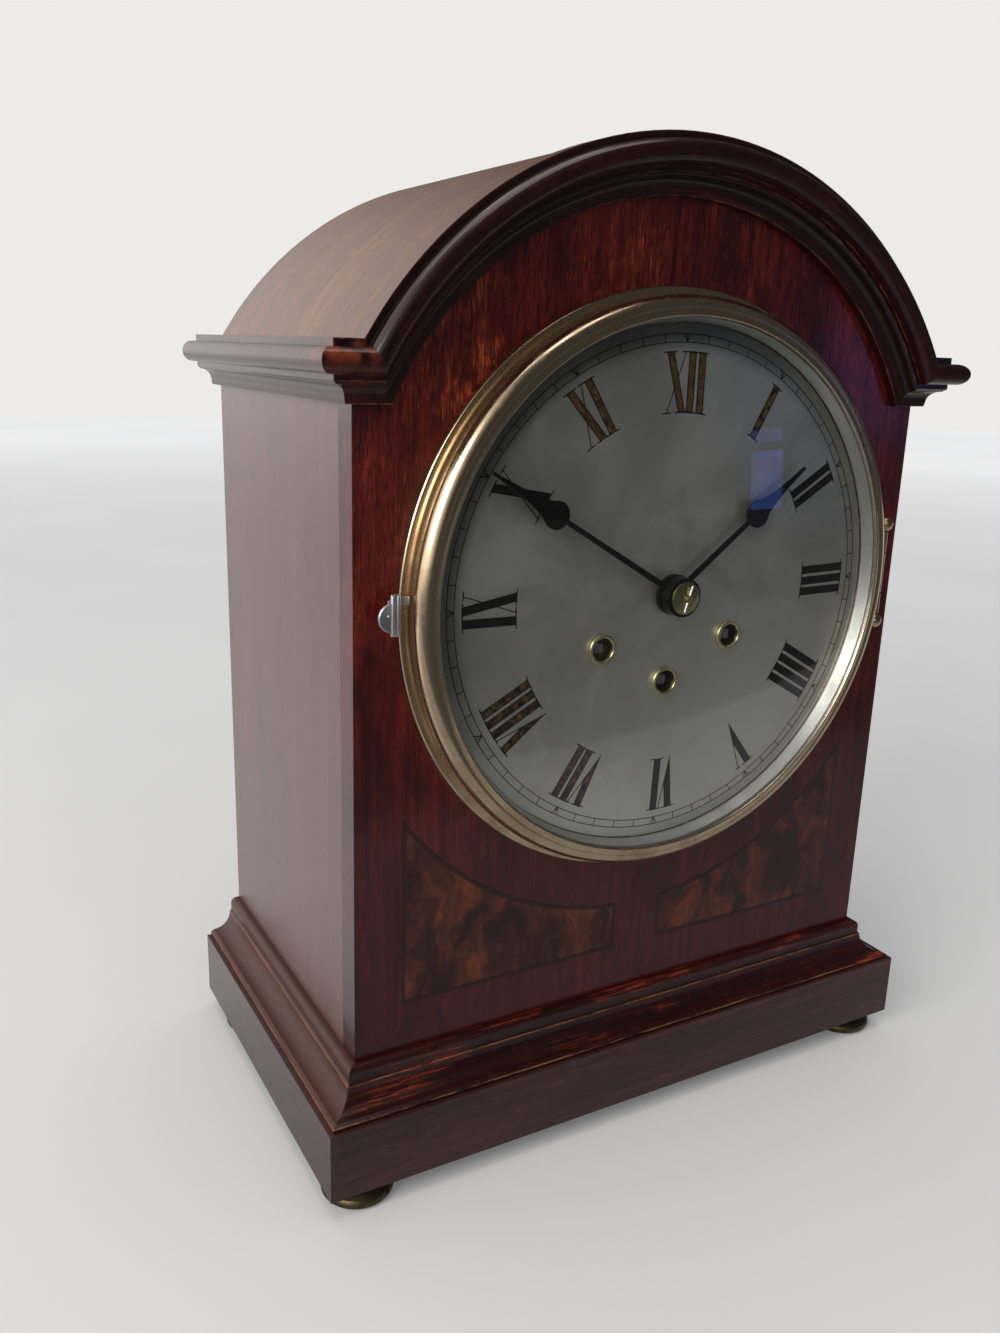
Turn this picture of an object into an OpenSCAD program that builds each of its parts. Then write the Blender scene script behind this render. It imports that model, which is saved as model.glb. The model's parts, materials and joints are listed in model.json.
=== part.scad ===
// Arch-top chiming bracket clock: wooden case, hinged bezel, hinged rear door,
// three-train movement, pendulum, pin drum, hammers and rod gongs.
// X runs to the right of the dial, Y to the back, Z up. Millimetres.

/* [Case] */
// Width over the side boards
case_w = 260; // [250:1:320]
// Depth from the front panel's face to the rear frame's face
case_d = 151.7; // [150:0.1:200]
// Height of the boards from the plinth to the cornice's underside
case_h = 264.6; // [258:0.1:320]
// Thickness of the side boards and the roof
board_t = 10; // [8:0.5:12]
// Thickness of the front panel
panel_t = 12; // [10:0.5:13]
// Rise of the arch above the cornice
arch_rise = 73.3; // [66:0.1:90]

/* [Plinth] */
// Height of the plinth's plain rail
plinth_h = 29; // [20:1:36]
// Overhang of the plinth past the case at the front and sides
plinth_over = 16.5; // [14.5:0.1:20]
// Width of the plinth's rails
rail_w = 30; // [26:1:36]
// Height of the moulding between plinth and case
plinth_mould_h = 17.4; // [16:0.1:24]
// Height of the turned feet
foot_h = 9; // [8:0.5:14]
// Largest radius of a foot
foot_r = 14.4; // [12:0.1:16]

/* [Cornice] */
// Height of the cornice moulding
cornice_h = 20.6; // [20:0.1:26]
// Overhang of the cornice's bullnose
cornice_over = 16.1; // [15:0.1:20]
// Radius of the bullnose
bull_r = 4.25; // [3.5:0.05:4.6]
// Radius of the cove under the bullnose
cove_r = 4.6; // [4:0.1:5]

/* [Inlay] */
// Half gap between the two inlaid panels
inlay_in = 11; // [8:0.5:20]
// Margin from the case's edge to the inlaid panels
inlay_margin = 19.5; // [15:0.5:25]
// Height of the inlaid panels' lower edge above the plinth
inlay_low = 37; // [30:0.5:45]
// Width of the wood between the bezel and the inlay's arc
inlay_ring = 21; // [18:0.5:24]
// Width of the dark stringing line
string_w = 1.4; // [1:0.1:2]
// Depth of the inlaid veneers
inlay_t = 0.8; // [0.6:0.1:1.2]

/* [Dial and bezel] */
// Drop of the dial's centre below the cornice's top
dial_drop = 92.2; // [90:0.1:94]
// Radius of the dial plate
dial_r = 101.6; // [84:0.1:103]
// Thickness of the dial plate
dial_t = 2; // [1.5:0.1:2.5]
// Width of the fixed ring beyond the dial plate
ring_w = 13; // [12:0.1:14.4]
// Thickness of the fixed dial ring
ring_t = 4.3; // [3.5:0.1:5]
// Width of the dial plate's edge that covers the front panel
dial_lap = 4.6; // [3.6:0.1:7.6]
// Width of the bezel from its bore to its rim
bezel_w = 6.7; // [6:0.1:7]
// Depth of the bezel
bezel_h = 10.7; // [10:0.1:12]
// Thickness of the glass
glass_t = 2; // [1.5:0.1:2.2]
// Rise of the domed glass
glass_rise = 8.3; // [7:0.1:10]
// Radius of the bezel's hinge pin
hinge_pin_r = 0.9; // [0.7:0.1:1]
// Radius of the hinge's ball finials
ball_r = 3.3; // [2:0.05:4]
// Length of the hinge between the finials
hinge_l = 36.6; // [30:0.1:46]

/* [Hands] */
// Clock time shown, minutes past the hour
minute_shown = 50.1; // [0:0.1:59.9]
// Clock time shown, hour
hour_shown = 1; // [0:1:11]
// Degrees by which the hour hand stands behind its true place
hour_lag = 2.6; // [0:0.1:5]
// Distance from the minute hand's tip to the dial's edge
minute_margin = 4.6; // [3.5:0.1:16]
// Distance from the hour hand's tip to the dial's edge
hour_margin = 23.6; // [21:0.1:36]
// Thickness of the hands' blades
blade_t = 0.9; // [0.7:0.1:1.1]
// Radius of the hand collet
collet_r = 6.4; // [5:0.1:7]

/* [Movement] */
// Half width of the plates
plate_x = 68; // [66:1:80]
// Reach of the plates below the dial's centre
plate_low = 78; // [76:1:84]
// Reach of the plates above the dial's centre
plate_high = 82; // [74:1:84]
// Thickness of the plates
plate_t = 2.5; // [2:0.1:3]
// Space between the plates
plate_gap = 50; // [49.5:0.5:52]
// Offset of the side winding arbors from the centre line
wind_x = 30.96; // [30:0.02:32]
// Drop of the side winding arbors below the dial's centre
wind_drop = 19.6; // [19:0.1:21]
// Drop of the middle winding arbor below the dial's centre
wind_mid = 35.7; // [35:0.1:37]
// Radius of the spring barrels
barrel_r = 21; // [18:0.1:22]
// Radius of a winding arbor
wind_r = 3; // [2.6:0.1:3.2]
// Width across the winding square
square_w = 3.8; // [3.4:0.1:4]
// Radial clearance of a running fit
fit = 0.1; // [0.06:0.01:0.1]

/* [Chime] */
// Radius of the pin drum
drum_r = 11; // [9:0.5:12]
// Spacing of the hammers and the rods
hammer_pitch = 8.5; // [8:0.1:9]
// Length of a hammer from its arbor to its head
hammer_l = 60; // [50:1:64]
// Radius of a gong rod
rod_r = 1.6; // [1.2:0.1:1.8]
// Length of the longest gong rod
rod_l = 178; // [150:1:180]
// Height of the gong block
block_h = 18; // [14:1:24]

/* [Pendulum] */
// Length from the suspension to the bob's centre
pendulum_l = 142; // [130:1:146]
// Radius of the bob
bob_r = 16; // [13:0.5:17]

/* [Hidden] */
$fn = 96;
eps = 0.01;
seat = 0.05;
panel_gap = 0.1;

// Levels of the case
half_w = case_w / 2;
z_plinth = foot_h;
z_case = foot_h + plinth_h;
z_cornice = z_case + case_h;
z_top = z_cornice + cornice_h;
inner_w = half_w - board_t;
base_t = 8;
half_chord = half_w - 0.5;
arch_r = (half_chord * half_chord + arch_rise * arch_rise) / (2 * arch_rise);
z_arch = z_top + arch_rise - arch_r;
roof_in = arch_r - board_t + 2;
roof_step = 0.8;
arch_in = arch_r - cornice_h;
dial_z = z_top - dial_drop;
frame_t = 10;
y_frame = case_d - frame_t;

// Depths at the dial, counted forward as negative Y
ring_r = dial_r + ring_w;
aperture_r = dial_r - dial_lap;
y_dial = -ring_t - dial_t;
y_bezel = -ring_t - 0.2;
bore_r = dial_r + 3.2;
rim_r = bore_r + bezel_w;
y_lip = y_bezel - bezel_h;
y_glass = y_lip + 1;
y_slip = y_glass + glass_t;
y_front = y_glass - glass_rise;
hinge_x = ring_r + 2.6;
hinge_y = -5.5;
knuckle_r = 1.9;

// Depths of the movement
y_fp = 14;
y_in = y_fp + plate_t;
y_bp = y_in + plate_gap;
y_back = y_bp + plate_t;
y_cannon = 9.6;
y_motion = 6.4;
y_ratchet = 13;
y_side_wheel = y_in + 4.4;
y_centre_wheel = y_in + 25.1;
y_third_wheel = y_in + 31;
y_train = y_in + 35.1;
y_escape = y_in + 39.9;
y_going_wheel = y_bp - 4.1;
wheel_t = 1.6;
great_t = 2.4;
side_barrel_h = 17.1;
going_barrel_h = 17;
pivot_r = 1;
wind_neck_r = wind_r - 1.2;
y_side_neck = y_side_wheel + side_barrel_h + 2.5;

// Tooth counts and modules of the trains
great_n = 64;
centre_n = 84;
third_n = 77;
escape_n = 36;
low_pinion = 8;
high_pinion = 7;
centre_m = 0.55;
third_m = 0.5;
great_m = 2 * wind_mid / (great_n + low_pinion);
side_n = 48;
side_m = 1;
second_n = 48;
second_m = 0.75;
drum_n = 24;
cannon_n = 12;
minute_n = 36;
minute_pinion = 10;
hour_n = 40;
cannon_m = 0.75;
hour_m = cannon_m * (cannon_n + minute_n) / (minute_pinion + hour_n);
ratchet_n = 24;
ratchet_r = 11;
escape_r = 13;

// Places of the arbors in the plane of the dial, from the dial's centre
function polar(p, r, a) = [p.x + r * cos(a), p.y + r * sin(a)];
function mesh_d(m, a, b) = m * (a + b) / 2;
p_centre = [0, 0];
p_going = [0, -wind_mid];
p_strike = [-wind_x, -wind_drop];
p_chime = [wind_x, -wind_drop];
third_d = mesh_d(centre_m, centre_n, high_pinion);
escape_d = mesh_d(third_m, third_n, high_pinion);
third_a = 60;
p_third = polar(p_centre, third_d, third_a);
escape_a = 180 - acos(third_d * cos(third_a) / escape_d);
p_escape = polar(p_third, escape_d, escape_a);
pallet_d = 16.4;
p_pallet = [0, p_escape.y + pallet_d];
minute_a = 135;
p_minute = polar(p_centre, mesh_d(cannon_m, cannon_n, minute_n), minute_a);
strike_a = 110;
p_strike2 = polar(p_strike, mesh_d(side_m, side_n, low_pinion), strike_a);
strike_fly_a = 70;
p_strike3 = polar(p_strike2, mesh_d(second_m, second_n, low_pinion), strike_fly_a);
chime_a = 60;
p_chime2 = polar(p_chime, mesh_d(side_m, side_n, low_pinion), chime_a);
chime_fly_a = 80;
p_chime3 = polar(p_chime2, mesh_d(second_m, second_n, low_pinion), chime_fly_a);
drum_a = -60;
p_drum = polar(p_chime, mesh_d(side_m, side_n, drum_n), drum_a);
p_hammer = [p_drum.x + 24, p_drum.y + 10];
p_post = [p_drum.x, p_drum.y + 21.5];
p_pillars = [for (x = [-1, 1], z = [8 - plate_low, plate_high - 16]) [x * (plate_x - 8), z]];
dial_feet = [for (x = [-1, 1], z = [-1, 1]) [x * 53, z * 53]];

// Chime group behind the back plate
y_drum = y_back + 7;
hammer_n = 4;
drum_l = (hammer_n + 1) * hammer_pitch;
y_frame_rear = y_drum + drum_l + 4;
hammer_r = 3.4;
head_r = 4;
head_l = 14;
pin_h = 1.8;
head_x = p_hammer.x + 12;
rod_x = head_x + head_l / 2 + 1.5 + rod_r;
function hammer_y(i) = y_drum + hammer_pitch * (i + 1);

// Pendulum
y_pendulum = y_back + 11;
z_pallet = dial_z + p_pallet.y;
z_bob = z_pallet - pendulum_l;
swing = 3.5;

// Seat board
z_seat = dial_z - plate_low;
seat_t = 12;
y_seat = y_back + 2.5;

// Rear door
door_gap = 0.6;
stile_w = 18;
door_low = z_case + 22;
door_r = roof_in - 20;
door_x = inner_w - stile_w;
rear_knuckle_r = 2;
rear_pin_y = case_d + rear_knuckle_r;
knob_x = door_x - 12;
knob_h = 11;

// Hand angles, clockwise from twelve
minute_deg = minute_shown * 6;
minute_len = dial_r - minute_margin;
hour_len = dial_r - hour_margin;
hour_deg = (hour_shown + minute_shown / 60) * 30 - hour_lag;
y_hour_hand = y_dial - 2.7;
y_minute_hand = y_hour_hand - 2.9;
boss_back = 0.6;
boss_front = blade_t + 0.4;
minute_boss_front = blade_t + 3.2;
hour_boss_r = 8;
minute_boss_r = 7.7;
y_collet = y_minute_hand - minute_boss_front;
pin_turn = -17;
y_taper = y_collet - 2.55;
hour_pipe_r = 4.2;
cannon_pipe_r = 3;
tip_r = 1.5;
y_tip = y_collet - 3.4;

// The frame's origin is under the middle of the whole clock
y_rear = case_d + knob_h;
y_mid = (y_front + y_rear) / 2;

// Points of an arc round a centre, from one angle to another
function arc(c, r, a, b, n = 8) =
    [for (i = [0:n]) [c.x + r * cos(a + (b - a) * i / n), c.y + r * sin(a + (b - a) * i / n)]];
// Involute of an angle, in degrees
function inv(a) = tan(a) * 180 / PI - a;

// Profiles as overhang and height
mid_fillet_h = 2;
top_fillet_h = 2.6;
top_fillet_over = cornice_over - 6;
bull_c = [cornice_over - bull_r, cornice_h - top_fillet_h - bull_r];
cove_top = bull_c.y - bull_r - mid_fillet_h - 1;
mid_fillet_over = top_fillet_over - 0.2;
cornice_pts = concat(
    [[0, 0], [3.7, 0]],
    arc([mid_fillet_over - 1.2, cove_top - cove_r], cove_r, 180, 90),
    [[mid_fillet_over - 1, cove_top + 0.3], [mid_fillet_over, cove_top + 1]],
    [[mid_fillet_over, bull_c.y - bull_r]],
    arc(bull_c, bull_r, -90, 90, 14),
    [[top_fillet_over, bull_c.y + bull_r], [top_fillet_over, cornice_h], [0, cornice_h]]
);
upper_over = 4.1;
plinth_cove_r = 8.1;
plinth_out = plinth_over - 1.9;
plinth_pts = concat(
    [[0, 0], [plinth_out, 0], [plinth_out, 1.5]],
    arc([upper_over + 0.8 + plinth_cove_r, 2.4 + plinth_cove_r], plinth_cove_r, 270, 180, 10),
    [[upper_over, 3.3 + plinth_cove_r]],
    arc([upper_over - 2.8, plinth_mould_h - 2.8], 2.8, 0, 90, 6),
    [[0, plinth_mould_h]]
);

// Draws in the plane of the dial: X right, Y up, Z towards the viewer
module on_face(p, y) {
    translate([p.x, y, dial_z + p.y]) rotate([90, 0, 0]) children();
}

// A round bar along an arbor, from the rear depth to the front depth
module bar(p, r, y_r, y_f) {
    on_face(p, y_r) cylinder(h = y_r - y_f, r = r);
}

// Flat outline with involute teeth, one tooth centred on the X axis
module teeth(n, m, add = 0.9, ded = 1.15, play = 0.16, pa = 20) {
    rp = n * m / 2;
    rb = rp * cos(pa);
    ra = rp + add * m;
    rr = rp - ded * m;
    half = (PI * m / 2 - play) / 2 / rp * 180 / PI;
    radii = [max(rr, rb), rp, (rp + ra) / 2, ra];
    flank = [for (r = radii) [r, half + inv(pa) - inv(acos(min(1, rb / r)))]];
    tooth = concat([[rr, flank[0][1]]], flank);
    polygon([for (i = [0:n - 1], s = [-1, 1], k = [0:4])
        let (q = s < 0 ? tooth[k] : tooth[4 - k], a = i * 360 / n + s * q[1])
        [q[0] * cos(a), q[0] * sin(a)]]);
}

// Wheel with crossed spokes
module wheel(n, m, t, hub, spokes = 4, add = 0.9) {
    rim = n * m / 2 - 1.15 * m - 1.8;
    spoke_w = max(1.6, rim / 9);
    linear_extrude(t) difference() {
        teeth(n, m, add);
        difference() {
            circle(rim);
            circle(hub);
            for (i = [0:spokes / 2 - 1]) rotate(i * 360 / spokes)
                square([2 * rim + 1, spoke_w], center = true);
        }
    }
}

// Pinion with thin leaves
module pinion(n, m, t) {
    linear_extrude(t) teeth(n, m, 0.8, 1.25, 0.16 + 0.34 * m);
}

// Ratchet with slanting teeth
module ratchet_shape(n, r, depth) {
    polygon([for (i = [0:n - 1], k = [0, 1]) let (a = i * 360 / n) k == 0
        ? [r * cos(a), r * sin(a)] : [(r - depth) * cos(a + 2), (r - depth) * sin(a + 2)]]);
}

// Moulding runs: across the front, and back along a side
module run_x(pts, x0, x1) {
    translate([x0, 0, 0]) rotate([90, 0, 90]) linear_extrude(x1 - x0)
        polygon([for (p = pts) [-p.x, p.y]]);
}
module run_y(pts, y0, y1) {
    translate([0, y1, 0]) rotate([90, 0, 0]) linear_extrude(y1 - y0) polygon(pts);
}

// Outline of the arched boards in the plane of the dial
module arch_outline(w, low, r) {
    translate([-w, low]) square([2 * w, z_top - low]);
    intersection() {
        translate([0, z_arch]) circle(r);
        translate([-w, z_top - eps]) square([2 * w, arch_rise + board_t]);
    }
}
module upright(y, t) {
    translate([0, y + t, 0]) rotate([90, 0, 0]) linear_extrude(t) children();
}

// Corner panel under the dial, drawn in by a margin
module spandrel(inset) {
    x0 = inlay_in + inset;
    x1 = half_w - inlay_margin - inset;
    z0 = z_case + inlay_low + inset;
    difference() {
        translate([x0, z0]) square([x1 - x0, dial_z - z0]);
        translate([0, dial_z]) circle(ring_r + inlay_ring + inset);
    }
}

// Mitred front length of the cornice between the corner and the arch
mitre_in = sqrt(arch_in * arch_in - pow(z_cornice - z_arch, 2));
mitre_out = sqrt(arch_r * arch_r - pow(z_top - z_arch, 2));
module cornice_side() {
    far = half_w + cornice_over + 1;
    intersection() {
        translate([half_w, 0, z_cornice]) run_y(cornice_pts, -cornice_over - 1, case_d);
        linear_extrude(z_top + 1) polygon([[half_w - eps, 0], [half_w, 0], [far, half_w - far],
            [far, case_d], [half_w - eps, case_d]]);
    }
    intersection() {
        translate([0, 0, z_cornice]) run_x(cornice_pts, mitre_in - 1, far);
        linear_extrude(z_top + 1) polygon([[0, 0], [half_w, 0], [far, half_w - far], [0, half_w - far]]);
        translate([0, 1, 0]) rotate([90, 0, 0]) linear_extrude(cornice_over + 3)
            polygon([[mitre_in, z_cornice], [far, z_cornice], [far, z_top], [mitre_out, z_top]]);
    }
}

module plinth() {
    color("saddlebrown") difference() {
        translate([-half_w - plinth_over, -plinth_over, z_plinth])
            cube([case_w + 2 * plinth_over, case_d + plinth_over, plinth_h]);
        translate([-half_w - plinth_over + rail_w, -plinth_over + rail_w, z_plinth - 1])
            cube([case_w + 2 * (plinth_over - rail_w), case_d + plinth_over - rail_w - 14, plinth_h + 2]);
    }
}

module plinth_moulding() {
    far = half_w + plinth_over;
    color("maroon") for (s = [0, 1]) mirror([s, 0, 0]) {
        intersection() {
            translate([half_w, 0, z_case]) run_y(plinth_pts, -plinth_over, case_d);
            linear_extrude(z_top)
                polygon([[half_w, 0], [far, half_w - far], [far, case_d], [half_w, case_d]]);
        }
        intersection() {
            translate([0, 0, z_case]) run_x(plinth_pts, -eps, far);
            linear_extrude(z_top)
                polygon([[-eps, 0], [half_w, 0], [far, half_w - far], [-eps, half_w - far]]);
        }
    }
}

module base_board() {
    color("peru") translate([-inner_w, panel_t, z_case]) cube([2 * inner_w, y_frame - panel_t, base_t]);
}

module feet() {
    edge_r = 2.6;
    neck_r = foot_r - 3.4;
    profile = concat([[0, 0]], arc([foot_r - edge_r, edge_r], edge_r, -90, 60, 10),
        [[neck_r, foot_h - 2.2], [neck_r, foot_h], [0, foot_h]]);
    color("darkolivegreen") for (x = [-1, 1], y = [foot_r - plinth_over, case_d - foot_r - 10])
        translate([x * (half_w + plinth_over - foot_r - 2), y, 0]) rotate_extrude() polygon(profile);
}

module side_board() {
    translate([inner_w, panel_t, z_case]) cube([board_t, case_d - panel_t, z_top - z_case]);
}
module side_left() {
    color("rosybrown") mirror([1, 0, 0]) side_board();
}
module side_right() {
    color("rosybrown") side_board();
}

module front_panel() {
    color("firebrick") difference() {
        upright(0, panel_t) difference() {
            arch_outline(half_w, z_case, roof_in - panel_gap);
            translate([0, dial_z]) circle(aperture_r);
        }
        for (s = [0, 1]) mirror([s, 0, 0]) upright(-1, inlay_t + 1) spandrel(0);
    }
}

module inlay() {
    upright(0, inlay_t) spandrel(string_w + seat);
}
module inlay_left() {
    color("chocolate") mirror([1, 0, 0]) inlay();
}
module inlay_right() {
    color("chocolate") inlay();
}
module stringing() {
    color("black") for (s = [0, 1]) mirror([s, 0, 0]) upright(0, inlay_t) difference() {
        spandrel(seat);
        spandrel(string_w);
    }
}

module cornice_left() {
    color("maroon") mirror([1, 0, 0]) cornice_side();
}
module cornice_right() {
    color("maroon") cornice_side();
}

module arch_moulding() {
    color("maroon") intersection() {
        translate([0, 0, z_arch]) rotate([90, 0, 0]) rotate_extrude($fn = 180)
            polygon([for (p = cornice_pts) [arch_in + p.y, p.x]]);
        translate([0, 1, 0]) rotate([90, 0, 0]) linear_extrude(cornice_over + 3)
            polygon([[-mitre_in, z_cornice], [mitre_in, z_cornice], [mitre_out, z_top], [half_w + 50, z_top],
                [half_w + 50, z_top + arch_rise + 5], [-half_w - 50, z_top + arch_rise + 5],
                [-half_w - 50, z_top], [-mitre_out, z_top]]);
    }
}

module roof() {
    color("sienna") upright(0, case_d) intersection() {
        translate([0, z_arch]) difference() {
            circle(arch_r - roof_step);
            circle(roof_in);
        }
        translate([-half_w, z_top]) square([case_w, arch_rise + 1]);
    }
}

// Opening of the rear frame, or the door in it when drawn in by a gap
module door_outline(gap) {
    w = door_x - gap;
    low = door_low + gap;
    shoulder = z_arch + sqrt(door_r * door_r - door_x * door_x) - 2;
    translate([-w, low]) square([2 * w, shoulder - low]);
    intersection() {
        translate([-w, shoulder - eps]) square([2 * w, z_top + arch_rise - shoulder]);
        translate([0, z_arch]) circle(door_r - gap);
    }
}

module back_frame() {
    color("saddlebrown") upright(y_frame, frame_t) difference() {
        intersection() {
            arch_outline(inner_w, z_case, roof_in - panel_gap);
            translate([-inner_w, z_case]) square([2 * inner_w, case_h + cornice_h + arch_rise]);
        }
        door_outline(0);
    }
}

module seat_board() {
    color("peru") {
        translate([-inner_w, panel_t, z_seat - seat_t]) cube([2 * inner_w, y_seat - panel_t, seat_t]);
        for (s = [0, 1]) mirror([s, 0, 0])
            translate([inner_w - 12, panel_t, z_seat - seat_t - 14]) cube([12, y_seat - panel_t, 14]);
    }
}

// One knuckle of a rear hinge with its leaf, on the frame's or the door's side
hinge_z = [z_case + 62, z_top - 48];
rear_leaf_w = 9;
rear_leaf_h = 30;
rear_leaf_t = 1;
rear_pin_r = 1;
module rear_knuckle(z0, h, side) {
    translate([-door_x, rear_pin_y, z0]) cylinder(h = h, r = rear_knuckle_r);
    translate([-door_x - (side < 0 ? rear_leaf_w : 0), case_d, z0]) cube([rear_leaf_w, rear_leaf_t, h]);
}
module rear_hinges() {
    knuckle_h = rear_leaf_h / 3 - 0.2;
    color("gold") for (z = hinge_z) {
        rear_knuckle(z, knuckle_h, -1);
        rear_knuckle(z + rear_leaf_h - knuckle_h, knuckle_h, -1);
        translate([-door_x, rear_pin_y, z - 1]) cylinder(h = rear_leaf_h + 2, r = rear_pin_r);
    }
}
module rear_door_leaves() {
    color("gold") for (z = hinge_z) difference() {
        rear_knuckle(z + rear_leaf_h / 3, rear_leaf_h / 3, 1);
        translate([-door_x, rear_pin_y, z]) cylinder(h = rear_leaf_h, r = rear_pin_r + fit);
    }
}

module rear_door() {
    color("sienna") difference() {
        upright(y_frame, frame_t) door_outline(door_gap);
        on_face([knob_x, 0], case_d + 1) cylinder(h = frame_t + 2, r = 2 + fit);
    }
}

module rear_knob() {
    shaft_r = 2;
    profile = concat([[0, 0], [4.5, 0], [4.5, 0.8], [2.4, 1.6], [2.2, 4.4]],
        arc([0, knob_h - 4.1], 4, -38, 90, 8));
    color("gold") {
        translate([knob_x, case_d + fit, dial_z]) rotate([-90, 0, 0]) rotate_extrude() polygon(profile);
        bar([knob_x, 0], shaft_r, case_d + 0.5, y_frame - 2.5);
        translate([knob_x - 3, y_frame - 2.2, dial_z - 4]) cube([6, 1.8, 22]);
    }
}

module dial_ring() {
    web_x = rim_r + 0.4;
    color("gold") {
        on_face(p_centre, 0) rotate_extrude() polygon(concat(
            [[aperture_r - 1, 0], [ring_r, 0], [ring_r, ring_t - 1.6]],
            arc([ring_r - 1.6, ring_t - 1.6], 1.6, 0, 90, 5),
            [[aperture_r - 1, ring_t]]));
        for (s = [-1, 1]) difference() {
            translate([0, 0, dial_z + s * hinge_l * 3 / 8 - hinge_l / 8]) {
                translate([hinge_x, hinge_y, 0]) cylinder(h = hinge_l / 4, r = knuckle_r);
                translate([web_x, -ring_t - 0.6, 0]) cube([hinge_x - web_x, 1.2, hinge_l / 4]);
            }
            translate([hinge_x, hinge_y, dial_z - hinge_l])
                cylinder(h = 2 * hinge_l, r = hinge_pin_r + seat);
        }
    }
}

module dial_plate() {
    color("silver") difference() {
        union() {
            on_face(p_centre, -ring_t) cylinder(h = dial_t, r = dial_r);
            for (p = dial_feet) bar(p, 3, y_fp, -ring_t - eps);
        }
        bar(p_centre, hour_pipe_r + 0.4, 0, y_dial - 1);
        for (p = [p_going, p_strike, p_chime]) bar(p, 5 + seat, 0, y_dial - 1);
    }
}

module winding_collars() {
    color("gold") for (p = [p_going, p_strike, p_chime]) on_face(p, -ring_t) rotate_extrude() polygon(concat(
        [[4.3, 0], [5, 0], [5, dial_t], [6.1, dial_t], [6.1, dial_t + 0.9]],
        arc([5.3, dial_t + 1.1], 0.8, 0, 150, 8), [[4.3, dial_t + 0.6]]));
}

module bezel() {
    color("goldenrod") {
        on_face(p_centre, y_bezel) rotate_extrude() polygon(concat(
            [[bore_r, 0], [rim_r - 0.4, 0], [rim_r - 0.4, 1.6], [rim_r, 2]],
            arc([rim_r - 4.4, bezel_h - 5.2], 4.4, 0, 78, 8),
            [[bore_r + 1.7, bezel_h - 0.9], [bore_r + 0.4, bezel_h - 0.5], [bore_r - 0.4, bezel_h],
                [bore_r - 1.1, bezel_h - 0.2], [bore_r - 1.1, bezel_h - 0.8], [bore_r, bezel_h - 0.8]]));
        difference() {
            union() {
                translate([hinge_x, hinge_y, dial_z - hinge_l / 4 + 0.2])
                    cylinder(h = hinge_l / 2 - 0.4, r = knuckle_r);
                translate([rim_r - 1.5, hinge_y - 0.9, dial_z - hinge_l / 4 + 0.2])
                    cube([hinge_x - rim_r + 1.5, 1.5, hinge_l / 2 - 0.4]);
            }
            translate([hinge_x, hinge_y, dial_z - hinge_l]) cylinder(h = 2 * hinge_l, r = hinge_pin_r + fit);
        }
    }
}

module bezel_hinge_pin() {
    color("gold") {
        translate([hinge_x, hinge_y, dial_z - hinge_l / 2 - 1]) cylinder(h = hinge_l + 2, r = hinge_pin_r);
        for (s = [-1, 1]) translate([hinge_x, hinge_y, dial_z + s * (hinge_l / 2 + ball_r)]) sphere(ball_r);
    }
}

module bezel_slip() {
    color("gainsboro") on_face(p_centre, y_dial - 0.3) rotate_extrude() polygon([[dial_r + 0.4, 0],
        [bore_r - 0.1, 0], [bore_r - 0.1, y_dial - 0.3 - y_slip], [dial_r + 1.6, y_dial - 0.3 - y_slip]]);
}

module glass() {
    edge = bore_r - 0.2;
    sphere_r = (edge * edge + glass_rise * glass_rise) / (2 * glass_rise);
    fall = asin(edge / sphere_r);
    dome = [for (i = [0:20]) sphere_r * [sin(fall * i / 20), cos(fall * i / 20)] - [0, sphere_r]];
    color("lightcyan") on_face(p_centre, y_slip) rotate_extrude() polygon(concat(
        [for (p = dome) p + [0, glass_t + glass_rise]],
        [for (i = [20:-1:0]) dome[i] + [0, glass_rise]]));
}

module catch_tab() {
    tab_r = 5.5;
    color("lightgray") difference() {
        on_face([-rim_r - 6.3, 0], y_bezel - 2.1) linear_extrude(1.4) {
            circle(tab_r);
            translate([-0.6, -7.6]) square([7.6, 15.2]);
        }
        bar(p_centre, rim_r + seat, 0, y_front);
    }
}

// Flat hand pointing along Y: boss, slender shaft, pear and long point
module hand_shape(len, pear_at, pear_r, boss_r) {
    neck = 2.2;
    point = 0.5;
    steps = 14;
    side = [for (i = [0:steps]) let (t = i / steps)
        [neck * (1 - t) + point * t + (pear_r - neck) * pow(1 - t, 4), pear_at + (len - pear_at) * t]];
    circle(boss_r);
    translate([0, pear_at]) circle(pear_r);
    polygon([[-1.2, 0], [1.2, 0], [0.9, pear_at], [-0.9, pear_at]]);
    polygon(concat(side, [for (i = [steps:-1:0]) [-side[i].x, side[i].y]]));
}

module hour_hand() {
    color("midnightblue") on_face(p_centre, y_hour_hand) rotate(-hour_deg) difference() {
        union() {
            linear_extrude(blade_t) hand_shape(hour_len, 0.63 * hour_len, 5.6, hour_boss_r);
            translate([0, 0, -boss_back]) cylinder(h = boss_back + boss_front, r = hour_boss_r);
        }
        translate([0, 0, -2]) cylinder(h = 6, r = hour_pipe_r + seat);
    }
}
module minute_hand() {
    color("midnightblue") on_face(p_centre, y_minute_hand) rotate(-minute_deg) difference() {
        union() {
            linear_extrude(blade_t) hand_shape(minute_len, 0.685 * minute_len, 5.2, minute_boss_r);
            translate([0, 0, -boss_back]) cylinder(h = boss_back + minute_boss_front, r = minute_boss_r);
        }
        translate([0, 0, -2]) cylinder(h = minute_boss_front + 4, r = cannon_pipe_r + seat);
    }
}

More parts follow.
